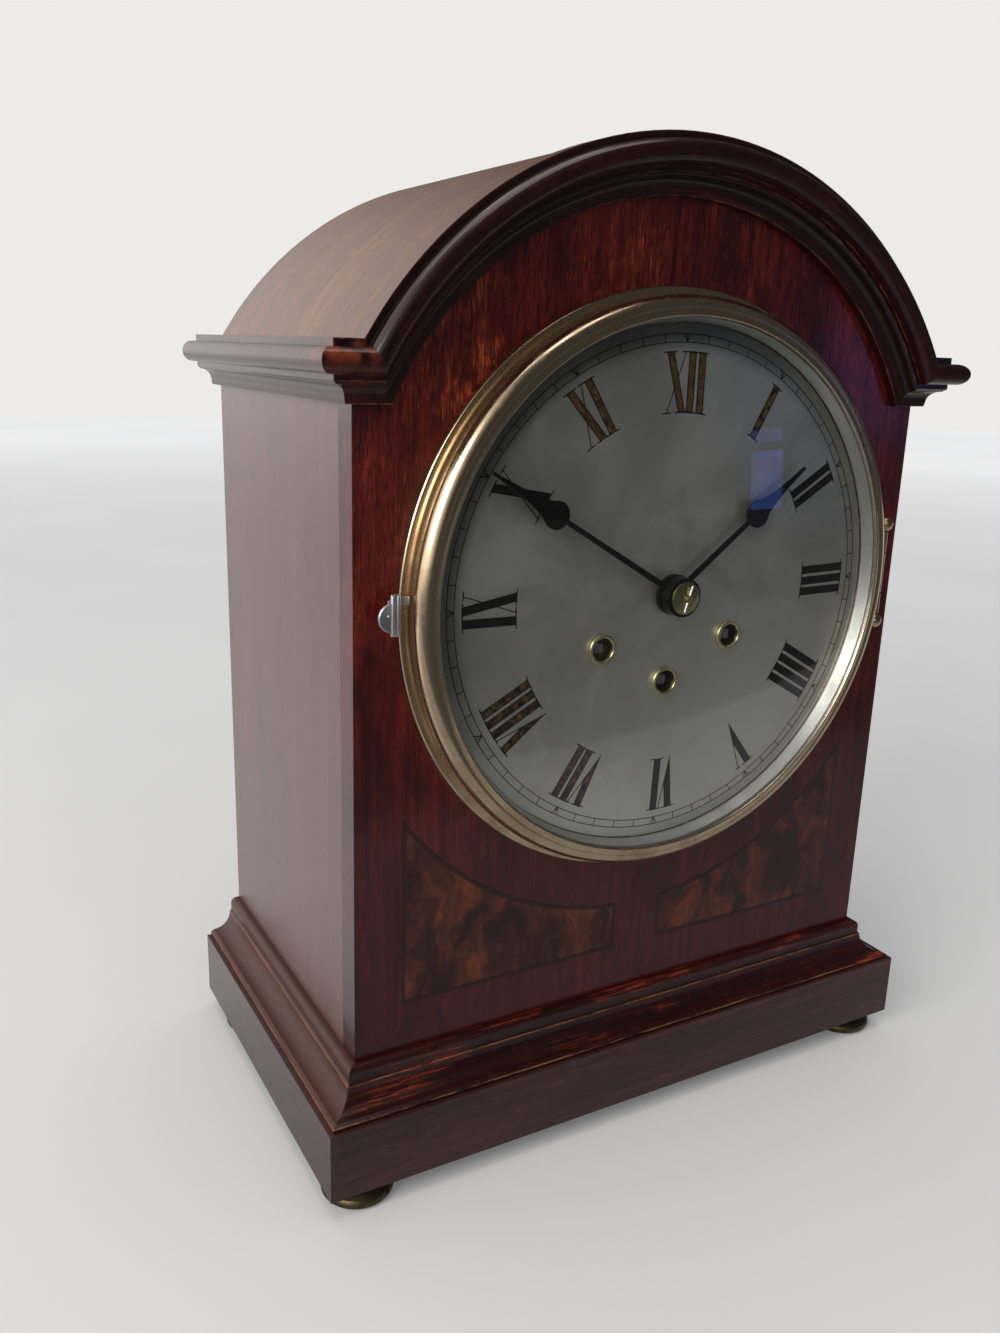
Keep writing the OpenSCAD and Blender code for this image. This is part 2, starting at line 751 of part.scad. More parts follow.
// Domed collet with the taper pin that holds it on the arbor
module hand_collet() {
    bore = tip_r + seat;
    dome = concat([[bore, 0], [collet_r - 0.4, 0], [collet_r, 0.5], [collet_r, 0.9]],
        [for (i = [1:6]) let (t = i / 6) [collet_r - (collet_r - bore) * t, 0.9 + 1.1 * sin(90 * t)]]);
    color("gold") {
        on_face(p_centre, y_collet) rotate_extrude() polygon(dome);
        on_face(p_centre, y_taper) rotate([0, 0, pin_turn])
            translate([0, -5.4, 0]) rotate([-90, 0, 0]) cylinder(h = 10.8, r = 0.45);
    }
}

// Arbor with pivots that run in the plates
module arbor(p, r) {
    bar(p, r, y_bp - 0.3, y_in + 0.3);
    bar(p, pivot_r, y_back - 0.2, y_fp + 0.2);
}

module centre_arbor() {
    color("goldenrod") difference() {
        union() {
            bar(p_centre, 2, y_bp - 0.3, y_in + 0.3);
            bar(p_centre, pivot_r, y_back - 0.2, y_bp - 1);
            bar(p_centre, cannon_pipe_r, y_in + 0.4, y_collet + 0.4);
            bar(p_centre, tip_r, y_dial, y_tip);
            on_face(p_centre, y_centre_wheel) wheel(centre_n, centre_m, wheel_t, 5);
            on_face(p_centre, y_going_wheel + 0.6) pinion(low_pinion, great_m, great_t + 1.2);
            on_face(p_centre, y_cannon) linear_extrude(wheel_t + 0.4)
                teeth(cannon_n, cannon_m, 0.8, 1.1, 0.3);
        }
        on_face(p_centre, y_taper) rotate([0, 0, pin_turn])
            translate([0, -3, 0]) rotate([-90, 0, 0]) cylinder(h = 6, r = 0.5);
    }
}

// Turn that brings a wheel into mesh: a tooth of the first lies on the line of
// centres at angle a when its own turn is turn_1; the second then shows a gap
function mesh_turn(n1, turn_1, n2, a) = a + 180 + 180 / n2 - (turn_1 - a) * n1 / n2;

minute_turn = mesh_turn(cannon_n, 0, minute_n, minute_a);
module minute_wheel() {
    color("goldenrod") {
        difference() {
            union() {
                on_face(p_minute, y_cannon) rotate(minute_turn) wheel(minute_n, cannon_m, wheel_t, 4);
                on_face(p_minute, y_cannon - wheel_t) linear_extrude(y_cannon - wheel_t - y_motion + 3)
                    teeth(minute_pinion, hour_m, 0.8, 1.15, 0.35);
            }
            bar(p_minute, 1.2 + fit, y_fp, 0);
        }
    }
}

hour_turn = mesh_turn(minute_pinion, 0, hour_n, minute_a + 180);
module hour_wheel() {
    color("goldenrod") difference() {
        union() {
            on_face(p_centre, y_motion) rotate(hour_turn) linear_extrude(wheel_t)
                teeth(hour_n, hour_m, 0.9, 1.1, 0.3);
            bar(p_centre, hour_pipe_r, y_motion, y_hour_hand - 1.2);
        }
        bar(p_centre, cannon_pipe_r + fit, y_fp, y_front);
    }
}

third_turn = mesh_turn(centre_n, 0, high_pinion, third_a);
module third_wheel() {
    color("goldenrod") {
        arbor(p_third, 1.4);
        on_face(p_third, y_third_wheel) wheel(third_n, third_m, wheel_t, 4);
        on_face(p_third, y_centre_wheel + 1) rotate(third_turn) pinion(high_pinion, centre_m, wheel_t + 2);
    }
}

escape_turn = mesh_turn(third_n, 0, high_pinion, escape_a);
module escape_wheel() {
    color("goldenrod") {
        arbor(p_escape, 1.3);
        on_face(p_escape, y_third_wheel + 1) rotate(escape_turn) pinion(high_pinion, third_m, wheel_t + 2);
        on_face(p_escape, y_escape) linear_extrude(wheel_t) difference() {
            polygon([for (i = [0:escape_n - 1], k = [0, 1]) let (a = i * 360 / escape_n) k == 0
                ? [escape_r * cos(a), escape_r * sin(a)]
                : [(escape_r - 2) * cos(a + 3), (escape_r - 2) * sin(a + 3)]]);
            difference() {
                circle(escape_r - 3.6);
                circle(3);
                for (i = [0, 1]) rotate(i * 90) square([2 * escape_r - 5, 1.4], center = true);
            }
        }
    }
}

// Spring barrel with its great wheel on the named side
module barrel(p, n, m, y_wheel, h, forward, turn) {
    difference() {
        union() {
            on_face(p, y_wheel) rotate(turn) linear_extrude(great_t) teeth(n, m, 0.9, 1.15, 0.2);
            if (forward) bar(p, barrel_r, y_wheel - great_t, y_wheel - great_t - h);
            else bar(p, barrel_r, y_wheel + h, y_wheel);
            if (forward) bar(p, 6, y_wheel, y_wheel - great_t - h - 1.2);
            else bar(p, 6, y_wheel + h + 1.2, y_wheel - great_t - 1);
        }
        bar(p, wind_r + fit, y_back + 1, 0);
    }
}
going_turn = mesh_turn(low_pinion, 0, great_n, -90);
module going_barrel() {
    color("gold") barrel(p_going, great_n, great_m, y_going_wheel, going_barrel_h, true, going_turn);
}
module strike_barrel() {
    color("gold") barrel(p_strike, side_n, side_m, y_side_wheel, side_barrel_h, false, 0);
}
module chime_barrel() {
    color("gold") barrel(p_chime, side_n, side_m, y_side_wheel, side_barrel_h, false, 0);
}

// Winding arbor with its square and ratchet, thinner behind the neck
module winder(p, y_neck) {
    color("dimgray") {
        bar(p, wind_r, y_neck, y_ratchet - 3);
        bar(p, wind_neck_r, y_back - 0.2, y_neck - 1);
        on_face(p, y_ratchet) linear_extrude(2.6) ratchet_shape(ratchet_n, ratchet_r, 1.6);
        on_face(p, y_ratchet - 2) translate([-square_w / 2, -square_w / 2, 0])
            cube([square_w, square_w, y_ratchet - 2 - y_dial - 1.5]);
    }
}
module going_winder() {
    winder(p_going, y_bp - 0.3);
}
module strike_winder() {
    winder(p_strike, y_side_neck);
}
module chime_winder() {
    winder(p_chime, y_side_neck);
}

// Clicks pivoted beside the ratchets, with their bowed springs
module clicks() {
    reach = ratchet_r + 0.3;
    for (c = [[p_going, 180], [p_strike, 100], [p_chime, 60]]) on_face(c[0], y_fp) rotate(c[1]) {
        color("dimgray") translate([0, 0, 1.2]) linear_extrude(2) difference() {
            union() {
                translate([reach + 3.6, 7]) circle(3);
                polygon([[reach, 0], [reach + 2.2, -0.6], [reach + 6.2, 6], [reach + 1, 7]]);
            }
            translate([reach + 3.6, 7]) circle(1.25);
        }
        color("silver") translate([reach + 3.6, 7, 0]) cylinder(h = 4, r = 1.2);
        color("silver") translate([reach + 3.6, 7, 0]) cylinder(h = 1.15, r = 2.4);
    }
}

// Outline of a plate with cut top corners
module plate_shape() {
    polygon([[-plate_x, -plate_low], [plate_x, -plate_low], [plate_x, plate_high - 14],
        [plate_x - 14, plate_high], [14 - plate_x, plate_high], [-plate_x, plate_high - 14]]);
}
train_pivots = [p_third, p_escape, p_strike2, p_strike3, p_chime2, p_chime3];
module front_plate() {
    color("goldenrod") {
        difference() {
            on_face(p_centre, y_in) linear_extrude(plate_t) plate_shape();
            for (p = train_pivots) bar(p, pivot_r + fit, y_in + 1, 0);
            for (p = [p_pallet, p_drum]) bar(p, pivot_r + fit, y_in + 1, 0);
            for (p = [p_going, p_strike, p_chime]) bar(p, wind_r + fit, y_in + 1, 0);
            bar(p_centre, cannon_pipe_r + fit, y_in + 1, 0);
        }
        for (p = p_pillars) {
            bar(p, 3.6, y_bp, y_in - eps);
            bar(p, 5, y_bp, y_bp - 3);
            bar(p, 5, y_in + 3, y_in - eps);
        }
        bar(p_minute, 1.2, y_fp + eps, y_motion - 3);
        bar(p_minute, 2.6, y_fp + eps, y_cannon + 0.2);
    }
}
module back_plate() {
    color("goldenrod") difference() {
        on_face(p_centre, y_back) linear_extrude(plate_t) plate_shape();
        for (p = train_pivots) bar(p, pivot_r + fit, y_back + 1, y_bp - 1);
        for (p = [p_going, p_strike, p_chime]) bar(p, wind_neck_r + fit, y_back + 1, y_bp - 1);
        bar(p_centre, pivot_r + fit, y_back + 1, y_bp - 1);
        bar(p_pallet, 2.6, y_back + 1, y_bp - 1);
        bar(p_drum, 2 + fit, y_back + 1, y_bp - 1);
    }
}

// Strike train
strike_turn = mesh_turn(side_n, 0, low_pinion, strike_a);
module strike_wheel() {
    color("goldenrod") {
        arbor(p_strike2, 1.5);
        on_face(p_strike2, y_side_wheel + 0.5) rotate(strike_turn) pinion(low_pinion, side_m, great_t + 1);
        on_face(p_strike2, y_train) wheel(second_n, second_m, wheel_t, 4);
    }
}
strike_fly_turn = mesh_turn(second_n, 0, low_pinion, strike_fly_a);
module fly(p, turn) {
    color("goldenrod") {
        arbor(p, 1.2);
        on_face(p, y_train + 1) rotate(turn) pinion(low_pinion, second_m, wheel_t + 2);
        translate([p.x - 9, y_in + 10, dial_z + p.y - 0.4]) cube([18, 16, 0.8]);
        bar(p, 2, y_in + 26, y_in + 10);
    }
}
module strike_fly() { fly(p_strike3, strike_fly_turn); }

// Chime train
chime_turn = mesh_turn(side_n, 0, low_pinion, chime_a);
module chime_wheel() {
    color("goldenrod") {
        arbor(p_chime2, 1.5);
        on_face(p_chime2, y_side_wheel + 0.5) rotate(chime_turn) pinion(low_pinion, side_m, great_t + 1);
        on_face(p_chime2, y_train) wheel(second_n, second_m, wheel_t, 4);
    }
}
chime_fly_turn = mesh_turn(second_n, 0, low_pinion, chime_fly_a);
module chime_fly() { fly(p_chime3, chime_fly_turn); }

// Pin drum behind the back plate, driven by the chime great wheel
drum_turn = mesh_turn(side_n, 0, drum_n, drum_a);
module chime_drum() {
    color("gold") {
        on_face(p_drum, y_side_wheel) rotate(drum_turn) wheel(drum_n, side_m, great_t, 4);
        bar(p_drum, pivot_r, y_in + 1, y_fp + 0.2);
        bar(p_drum, 2, y_frame_rear + 2.2, y_in + 0.3);
        bar(p_drum, drum_r, y_drum + drum_l, y_drum);
        for (i = [0:hammer_n - 1], k = [0:3]) on_face(p_drum, hammer_y(i))
            rotate([0, 0, 90 * k + 90 * i / hammer_n + 22]) translate([drum_r - 1, 0, 0])
                rotate([0, 90, 0]) cylinder(h = 1 + pin_h, r = 0.6);
    }
}

// Two bearing cheeks and their posts, which carry the drum and the hammers
module chime_frame() {
    color("goldenrod") difference() {
        union() {
            for (y = [y_back + 2.4, y_frame_rear + 2]) on_face(p_centre, y) linear_extrude(2.4)
                polygon([[p_drum.x - 7, p_drum.y - 7], [p_drum.x + 7, p_drum.y - 7],
                    [p_hammer.x + 5, p_hammer.y - 5], [p_hammer.x + 5, p_hammer.y + 5],
                    [p_drum.x + 6, p_drum.y + 27], [p_drum.x - 7, p_drum.y + 27]]);
            bar(p_post, 2.5, y_frame_rear, y_back + 2);
            bar(p_hammer, 1.5, y_frame_rear + 2, y_back);
        }
        bar(p_drum, 2 + fit, y_frame_rear + 5, y_back - 1);
    }
}

module hammer(i) {
    y = hammer_y(i);
    drop = sqrt(hammer_l * hammer_l - 144);
    tail_d = norm(p_hammer - p_drum) - drum_r - pin_h - 0.5;
    tail = polar([0, 0], tail_d, atan2(p_drum.y - p_hammer.y, p_drum.x - p_hammer.x));
    color("gold") difference() {
        union() {
            bar(p_hammer, hammer_r, y + 3.2, y - 3.2);
            on_face(p_hammer, y + 0.8) linear_extrude(1.6)
                polygon([[-2, -1], [2, 1], [12.9, -drop], [11.1, -drop]]);
            on_face(p_hammer, y + 0.8) linear_extrude(1.6) polygon([[0, 2.4], [0, -2.4],
                [tail.x, tail.y - 0.8], [tail.x, tail.y + 0.8]]);
            on_face([head_x, p_hammer.y - drop], y) translate([-head_l / 2, 0, 0]) rotate([0, 90, 0])
                cylinder(h = head_l, r = min(head_r, hammer_pitch / 2 - 0.3));
        }
        bar(p_hammer, 1.5 + fit, y + 5, y - 5);
    }
}
module hammer_1() { hammer(0); }
module hammer_2() { hammer(1); }
module hammer_3() { hammer(2); }
module hammer_4() { hammer(3); }

// Gong rods standing in blind holes of the block, each shorter than the one before
block_edge = 9;
rod_seat = 8;
rod_step = 13;
module gong_block() {
    color("dimgray") difference() {
        translate([rod_x - block_edge, hammer_y(0) - block_edge, z_case + base_t])
            cube([2 * block_edge, hammer_pitch * (hammer_n - 1) + 2 * block_edge, block_h]);
        for (i = [0:hammer_n - 1]) translate([rod_x, hammer_y(i), z_case + base_t + block_h - rod_seat])
            cylinder(h = rod_seat + 1, r = rod_r + fit);
    }
}
module gong_rods() {
    z0 = z_case + base_t + block_h - rod_seat;
    color("peru") for (i = [0:hammer_n - 1])
        translate([rod_x, hammer_y(i), z0]) cylinder(h = rod_l - rod_step * i, r = rod_r);
}

module suspension() {
    color("gold") {
        translate([-7, y_back, z_pallet + 9]) cube([14, 2.4, 12]);
        difference() {
            translate([-4, y_back, z_pallet + 9]) cube([8, y_pendulum + 4 - y_back, 6]);
            translate([-0.4, y_pendulum - 3.5, z_pallet]) cube([0.8, 7, 30]);
        }
        translate([-0.3, y_pendulum - 3.4, z_pallet + 0.3]) cube([0.6, 6.8, 18]);
        translate([-2.5, y_pendulum - 3.4, z_pallet + 15.05]) cube([5, 6.8, 3]);
    }
}

module pendulum() {
    bob_t = 9;
    bob_edge = 1.5;
    rod_top = z_pallet - 20;
    color("gold") {
        translate([-0.15, y_pendulum - 3, z_pallet - 14]) cube([0.3, 6, 14]);
        translate([-2, y_pendulum - 3.6, rod_top]) cube([4, 7.2, 6]);
        translate([0, y_pendulum, z_bob]) cylinder(h = rod_top - z_bob + 1, r = 1.2);
        translate([0, y_pendulum, z_bob - bob_r - 5]) cylinder(h = 6, r = 1.2);
        translate([0, y_pendulum, z_bob]) rotate([90, 0, 0]) rotate_extrude()
            polygon([[0, -bob_t / 2], [bob_r, -bob_edge], [bob_r, bob_edge], [0, bob_t / 2]]);
        translate([0, y_pendulum, z_bob - bob_r - 5]) cylinder(h = 3.4, r = 4);
    }
}

module anchor() {
    claw = [[-10, -6], [-9.6, -2], [-5, 3.4], [5, 3.4], [9.6, -2], [10, -6], [8.3, -5], [4.6, -1.2],
        [-4.6, -1.2], [-8.3, -5]];
    crutch_l = 40;
    color("dimgray") {
        bar(p_pallet, pivot_r, y_in + 1, y_fp + 0.2);
        bar(p_pallet, 1.4, y_back + 4, y_in + 0.3);
        on_face(p_pallet, y_escape + 0.5) linear_extrude(wheel_t + 1) difference() {
            polygon(claw);
            circle(0.5);
        }
        on_face(p_pallet, y_back + 4) linear_extrude(1.4) {
            circle(3.4);
            polygon([[-1.8, 0], [1.8, 0], [1.3, -crutch_l], [-1.3, -crutch_l]]);
        }
        for (s = [-1, 1]) translate([s * 2.1 - 0.6, y_back + 2.6, z_pallet - crutch_l]) cube([1.2, 11, 3]);
        translate([-2.7, y_back + 2.6, z_pallet - crutch_l]) cube([5.4, 1.4, 3]);
    }
}

// Moves the clock so that the origin lies under its middle
module centred() {
    translate([0, -y_mid, 0]) children();
}

centred() plinth();
centred() plinth_moulding();
centred() base_board();
centred() feet();
centred() side_left();
centred() side_right();
centred() front_panel();
centred() inlay_left();
centred() inlay_right();
centred() stringing();
centred() cornice_left();
centred() cornice_right();
centred() arch_moulding();
centred() roof();
centred() back_frame();
centred() seat_board();
centred() rear_hinges();
centred() dial_ring();
centred() dial_plate();
centred() winding_collars();
centred() bezel_hinge_pin();
centred() front_plate();
centred() back_plate();
centred() suspension();
centred() clicks();
centred() chime_frame();
centred() gong_block();
centred() gong_rods();
centred() bezel();
centred() bezel_slip();
centred() glass();
centred() catch_tab();
centred() rear_door();
centred() rear_door_leaves();
centred() rear_knob();
centred() centre_arbor();
centred() minute_hand();
centred() hand_collet();
centred() minute_wheel();
centred() hour_wheel();
centred() hour_hand();
centred() third_wheel();
centred() escape_wheel();
centred() going_barrel();
centred() strike_barrel();
centred() chime_barrel();
centred() going_winder();
centred() strike_winder();
centred() chime_winder();
centred() strike_wheel();
centred() strike_fly();
centred() chime_wheel();
centred() chime_fly();
centred() chime_drum();
centred() pendulum();
centred() anchor();
centred() hammer_1();
centred() hammer_2();
centred() hammer_3();
centred() hammer_4();
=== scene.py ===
import json
import math
import bpy
from mathutils import Matrix, Vector

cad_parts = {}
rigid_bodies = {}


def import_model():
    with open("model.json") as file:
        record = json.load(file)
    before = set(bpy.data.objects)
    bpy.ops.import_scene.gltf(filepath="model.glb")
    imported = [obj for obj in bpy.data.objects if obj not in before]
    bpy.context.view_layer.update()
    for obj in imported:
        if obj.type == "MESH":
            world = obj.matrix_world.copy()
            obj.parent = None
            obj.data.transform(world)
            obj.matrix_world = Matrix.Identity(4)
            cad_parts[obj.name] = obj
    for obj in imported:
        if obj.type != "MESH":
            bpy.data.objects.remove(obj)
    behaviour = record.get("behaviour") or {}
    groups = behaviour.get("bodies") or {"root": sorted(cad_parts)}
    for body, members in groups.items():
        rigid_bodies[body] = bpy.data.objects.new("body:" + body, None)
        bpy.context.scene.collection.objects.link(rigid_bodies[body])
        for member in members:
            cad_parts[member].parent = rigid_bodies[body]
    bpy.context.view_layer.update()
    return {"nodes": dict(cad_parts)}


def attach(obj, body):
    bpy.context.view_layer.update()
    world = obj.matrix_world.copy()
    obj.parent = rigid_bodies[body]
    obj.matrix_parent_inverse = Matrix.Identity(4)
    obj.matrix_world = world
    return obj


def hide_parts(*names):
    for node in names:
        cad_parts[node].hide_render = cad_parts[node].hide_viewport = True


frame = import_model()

nodes = frame["nodes"]
bpy.ops.object.select_all(action="DESELECT")


# The table under the clock: a pale cotton cloth laid flat and wide, slightly uneven in tone. What is
# polished shows its front hem and the dark floor past it. It is the setting, and rides on nothing.

def finish(name):
    """A new finish: its material, its node tree and its one shader."""
    material = bpy.data.materials.new(name)
    material.use_nodes = True
    tree = material.node_tree
    return material, tree, tree.nodes["Principled BSDF"]


def put(tree, value, socket):
    """Wires a socket to another, or gives it a plain value. A colour is written without its alpha."""
    if isinstance(value, bpy.types.NodeSocket):
        tree.links.new(value, socket)
    else:
        socket.default_value = (*value, 1) if socket.type == "RGBA" else value


def lay(tree, kind, inputs=None, **settings):
    """Lays one node in a tree, sets it, and wires or sets its inputs."""
    node = tree.nodes.new("ShaderNode" + kind)
    for key, value in settings.items():
        setattr(node, key, value)
    for key, value in (inputs or {}).items():
        put(tree, value, node.inputs[key])
    return node


def wire(tree, node, **sockets):
    """Gives a shader or a group its values by the names of its own sockets."""
    for key, value in sockets.items():
        put(tree, value, node.inputs[key.replace("_", " ")])


def tint(tree, amount, first, second, how="MIX"):
    """One colour laid over another by an amount."""
    return lay(tree, "Mix", {0: amount, 6: first, 7: second}, data_type="RGBA", blend_type=how).outputs[2]


def cloud(tree, vector, size, detail=3.0, rough=0.55, swirl=0.0):
    """Soft noise over a vector, from 0 to 1."""
    return lay(tree, "TexNoise", {"Vector": vector, "Scale": size, "Detail": detail,
                                  "Roughness": rough, "Distortion": swirl}).outputs[0]


def figure(tree, how, *values, clamp=False):
    """One step of arithmetic on a mask."""
    return lay(tree, "Math", dict(enumerate(values)), operation=how, use_clamp=clamp).outputs[0]


def times(tree, first, second):
    """What two masks have in common."""
    return figure(tree, "MULTIPLY", first, second)


def share(tree, mask, part, base):
    """A part of one mask, added to another."""
    return figure(tree, "MULTIPLY_ADD", mask, part, base)


def parts(tree, vector):
    """The three measures of a vector."""
    return lay(tree, "SeparateXYZ", {0: vector}).outputs


def remap(tree, value, low, high, to_low=0.0, to_high=1.0, how="SMOOTHSTEP"):
    """A mask drawn between two limits, with soft ends or straight."""
    return lay(tree, "MapRange", {0: value, 1: low, 2: high, 3: to_low, 4: to_high},
               interpolation_type=how).outputs[0]


bpy.ops.mesh.primitive_plane_add(size=9, location=(0, 0, -0.0002))
table = bpy.context.object
table.name = "table"
bpy.ops.object.transform_apply(location=True)
cloth, tree, shader = finish("table_cloth")
spread = lay(tree, "TexCoord").outputs["Object"]
folds = cloud(tree, spread, 2.2, 2)
pale = tint(tree, folds, (0.585, 0.590, 0.605), (0.655, 0.658, 0.668))
sight = lay(tree, "LightPath").outputs
forward = parts(tree, spread)[1]
past_hem = remap(tree, forward, -0.40, -0.37, 0.93, 0.0, how="LINEAR")
near = remap(tree, forward, -0.16, 0.10, 0.60, 0.0, how="LINEAR")
bounced = figure(tree, "MAXIMUM", sight["Is Glossy Ray"], sight["Is Transmission Ray"])
dim = figure(tree, "MAXIMUM", times(tree, past_hem, bounced), times(tree, near, sight["Is Glossy Ray"]))
pale = tint(tree, dim, pale, (0.012, 0.012, 0.013))
far = lay(tree, "VectorMath", {0: spread}, operation="LENGTH").outputs["Value"]
paler = remap(tree, far, 0.3, 3.4, 0.14, 0.86, how="LINEAR")
looked_at = figure(tree, "MAXIMUM", sight["Is Camera Ray"], bounced)
wire(tree, shader, Base_Color=pale, Roughness=0.9, Specular_IOR_Level=0.1, Emission_Color=pale,
     Emission_Strength=times(tree, looked_at, paler))
table.data.materials.append(cloth)


# The room: an even pale light, a soft one above, a wide window at the left, and a small far one with
# its fanlight at the right, which the glass mirrors. The camera stands where the photographer stood.

world = bpy.data.worlds.new("room")
bpy.context.scene.world = world
world.use_nodes = True
tree = world.node_tree
room = tree.nodes["Background"]
path = lay(tree, "LightPath").outputs
way = parts(tree, lay(tree, "TexCoord").outputs["Generated"])
wall = share(tree, way[1], 0.36, times(tree, way[0], -0.95))
wall = share(tree, way[2], -0.32, wall)
mirrored = remap(tree, wall, -0.35, 0.66, 0.045, 1.25)
rearward = times(tree, path["Is Transmission Ray"], figure(tree, "GREATER_THAN", way[1], -0.15))
seen = figure(tree, "MAXIMUM", path["Is Camera Ray"], rearward)
bounced = figure(tree, "MAXIMUM", path["Is Glossy Ray"], path["Is Transmission Ray"])
light = lay(tree, "Mix", {0: bounced, 2: 0.46, 3: mirrored}).outputs[0]
light = lay(tree, "Mix", {0: seen, 2: light, 3: 0.84}).outputs[0]
tree.links.new(light, room.inputs["Strength"])
room.inputs["Color"].default_value = (1.0, 0.99, 0.965, 1)


def window(name, place, aim, wide, high, watts, colour):
    """A soft rectangular light that stands for a window."""
    bpy.ops.object.light_add(type="AREA", location=place)
    pane = bpy.context.object
    pane.name = name
    pane.data.shape = "RECTANGLE"
    pane.data.size, pane.data.size_y = wide, high
    pane.data.energy = watts
    pane.data.color = colour
    pane.rotation_euler = (Vector(aim) - Vector(place)).to_track_quat("-Z", "Y").to_euler()


window("left_window", (-1.5, -0.6, 1.0), (0, 0, 0.2), 1.1, 0.9, 20, (1.0, 0.97, 0.93))
window("right_window", (1.78, -1.66, 0.26), (0.03, 0, 0.27), 0.19, 0.25, 0.14, (0.12, 0.26, 1.0))
window("right_fanlight", (1.78, -1.66, 0.45), (0.03, 0, 0.27), 0.19, 0.06, 0.02, (0.12, 0.26, 1.0))
window("top_light", (-0.1, 0.1, 1.8), (0, 0, 0.2), 1.3, 1.3, 10, (1.0, 0.98, 0.96))

view = bpy.data.cameras.new("photograph")
view.lens = 1133.6 / 1333 * 36
view.sensor_width = 36
view.clip_start = 0.02
camera = bpy.data.objects.new("photograph", view)
bpy.context.scene.collection.objects.link(camera)
camera.matrix_world = (Matrix.Translation((-0.27262, -0.42427, 0.32176))
                       @ Matrix(((0.87309969, 0.10653694, -0.4757592), (-0.48660325, 0.25093956, -0.83680739),
                                 (0.03023591, 0.96212225, 0.27093647))).to_4x4())
bpy.context.scene.camera = camera
bpy.context.scene.view_settings.view_transform = "Standard"


# The case sides: boards of mahogany with the grain standing, filled and french polished.
# They are glued behind the edges of the front panel, and daylight has faded them.

def effect(name, given, made):
    """A new node group with its named inputs and outputs: v is a vector, c a colour, f a number."""
    group = bpy.data.node_groups.new(name, "ShaderNodeTree")
    kinds = {"v": "NodeSocketVector", "c": "NodeSocketColor", "f": "NodeSocketFloat"}
    for side, sockets in (("INPUT", given), ("OUTPUT", made)):
        for key, kind in sockets.items():
            group.interface.new_socket(key, in_out=side, socket_type=kinds[kind])
    return group, group.nodes.new("NodeGroupInput").outputs, group.nodes.new("NodeGroupOutput").inputs


def stretched(tree, vector, sizes):
    """A vector stretched by three sizes."""
    return lay(tree, "VectorMath", {0: vector, 1: sizes}, operation="MULTIPLY").outputs[0]


def strewn(tree, place, sizes, detail=3.0, rough=0.55, swirl=0.0):
    """Soft noise over a place, with a size of its own each way."""
    return cloud(tree, stretched(tree, place, sizes), 1, detail, rough, swirl)


mahogany, given, made = effect("mahogany",
    {"Place": "v", "Dark": "c", "Ground": "c", "Light": "c", "Flame": "c", "Flame amount": "f", "Pores": "f"},
    {"Color": "c", "Gloss": "f", "Height": "f"})
broad = strewn(mahogany, given["Place"], (0.045, 0.045, 0.0045), 3, 0.6, 0.3)
streak = strewn(mahogany, given["Place"], (0.3, 0.3, 0.011), 4, 0.62, 0.5)
fibre = strewn(mahogany, given["Place"], (1.5, 1.5, 0.055), 3, 0.6, 0.2)
pore = remap(mahogany, strewn(mahogany, given["Place"], (3.0, 3.0, 0.17), 1, 0.5), 0.60, 0.68)
ripple = strewn(mahogany, given["Place"], (0.06, 0.06, 0.11), 3, 0.6, 1.4)
mixed = share(mahogany, streak, 0.62, times(mahogany, broad, 0.38))
tone = tint(mahogany, remap(mahogany, mixed, 0.30, 0.56), given["Dark"], given["Ground"])
tone = tint(mahogany, remap(mahogany, mixed, 0.50, 0.74), tone, given["Light"])
lick = times(mahogany, remap(mahogany, ripple, 0.50, 0.70), remap(mahogany, fibre, 0.40, 0.66))
tone = tint(mahogany, times(mahogany, lick, given["Flame amount"]), tone, given["Flame"])
shade = remap(mahogany, fibre, 0.25, 0.75, 0.72, 1.18)
shade = lay(mahogany, "CombineColor", {0: shade, 1: shade, 2: shade}).outputs[0]
tone = tint(mahogany, 1.0, tone, shade, "MULTIPLY")
sunk = times(mahogany, pore, given["Pores"])
put(mahogany, tint(mahogany, sunk, tone, (0.012, 0.005, 0.004)), made["Color"])
put(mahogany, share(mahogany, streak, 0.10, times(mahogany, sunk, 0.12)), made["Gloss"])
put(mahogany, figure(mahogany, "SUBTRACT", times(mahogany, fibre, 0.35), sunk), made["Height"])


def millimetres(tree, turn=(0, 0, 0), shift=(0, 0, 0)):
    """The place on the clock in millimetres, turned so that Z runs along the grain."""
    turned = [math.radians(angle) for angle in turn]
    return lay(tree, "Mapping", {"Vector": lay(tree, "TexCoord").outputs["Object"], "Location": shift,
                                 "Rotation": turned, "Scale": (1000, 1000, 1000)}).outputs[0]


def grain(tree, place, **values):
    """Mahogany over a place in millimetres."""
    node = lay(tree, "Group", {"Place": place}, node_tree=mahogany)
    wire(tree, node, **values)
    return node.outputs


PORE_DEPTH = 0.00006


def polish(tree, shader, wood, colour=None, gloss=None, dull=0.16, skin=0.75, ease=0.0007):
    """French polish: stained wood under a thin clear skin, its arrises eased by rubbing."""
    eased = lay(tree, "Bevel", {"Radius": ease}, samples=4).outputs[0]
    bump = lay(tree, "Bump", {"Strength": 0.35, "Distance": PORE_DEPTH, "Height": wood["Height"],
                              "Normal": eased})
    rough = figure(tree, "ADD", gloss or wood["Gloss"], dull + 0.14)
    wire(tree, shader, Base_Color=colour or wood["Color"], Roughness=rough, Normal=bump.outputs[0],
         Specular_IOR_Level=0.2, Coat_Weight=skin, Coat_Roughness=dull)


def dress(names, material):
    """Gives CAD nodes their finish."""
    for name in names:
        nodes[name].data.materials.clear()
        nodes[name].data.materials.append(material)


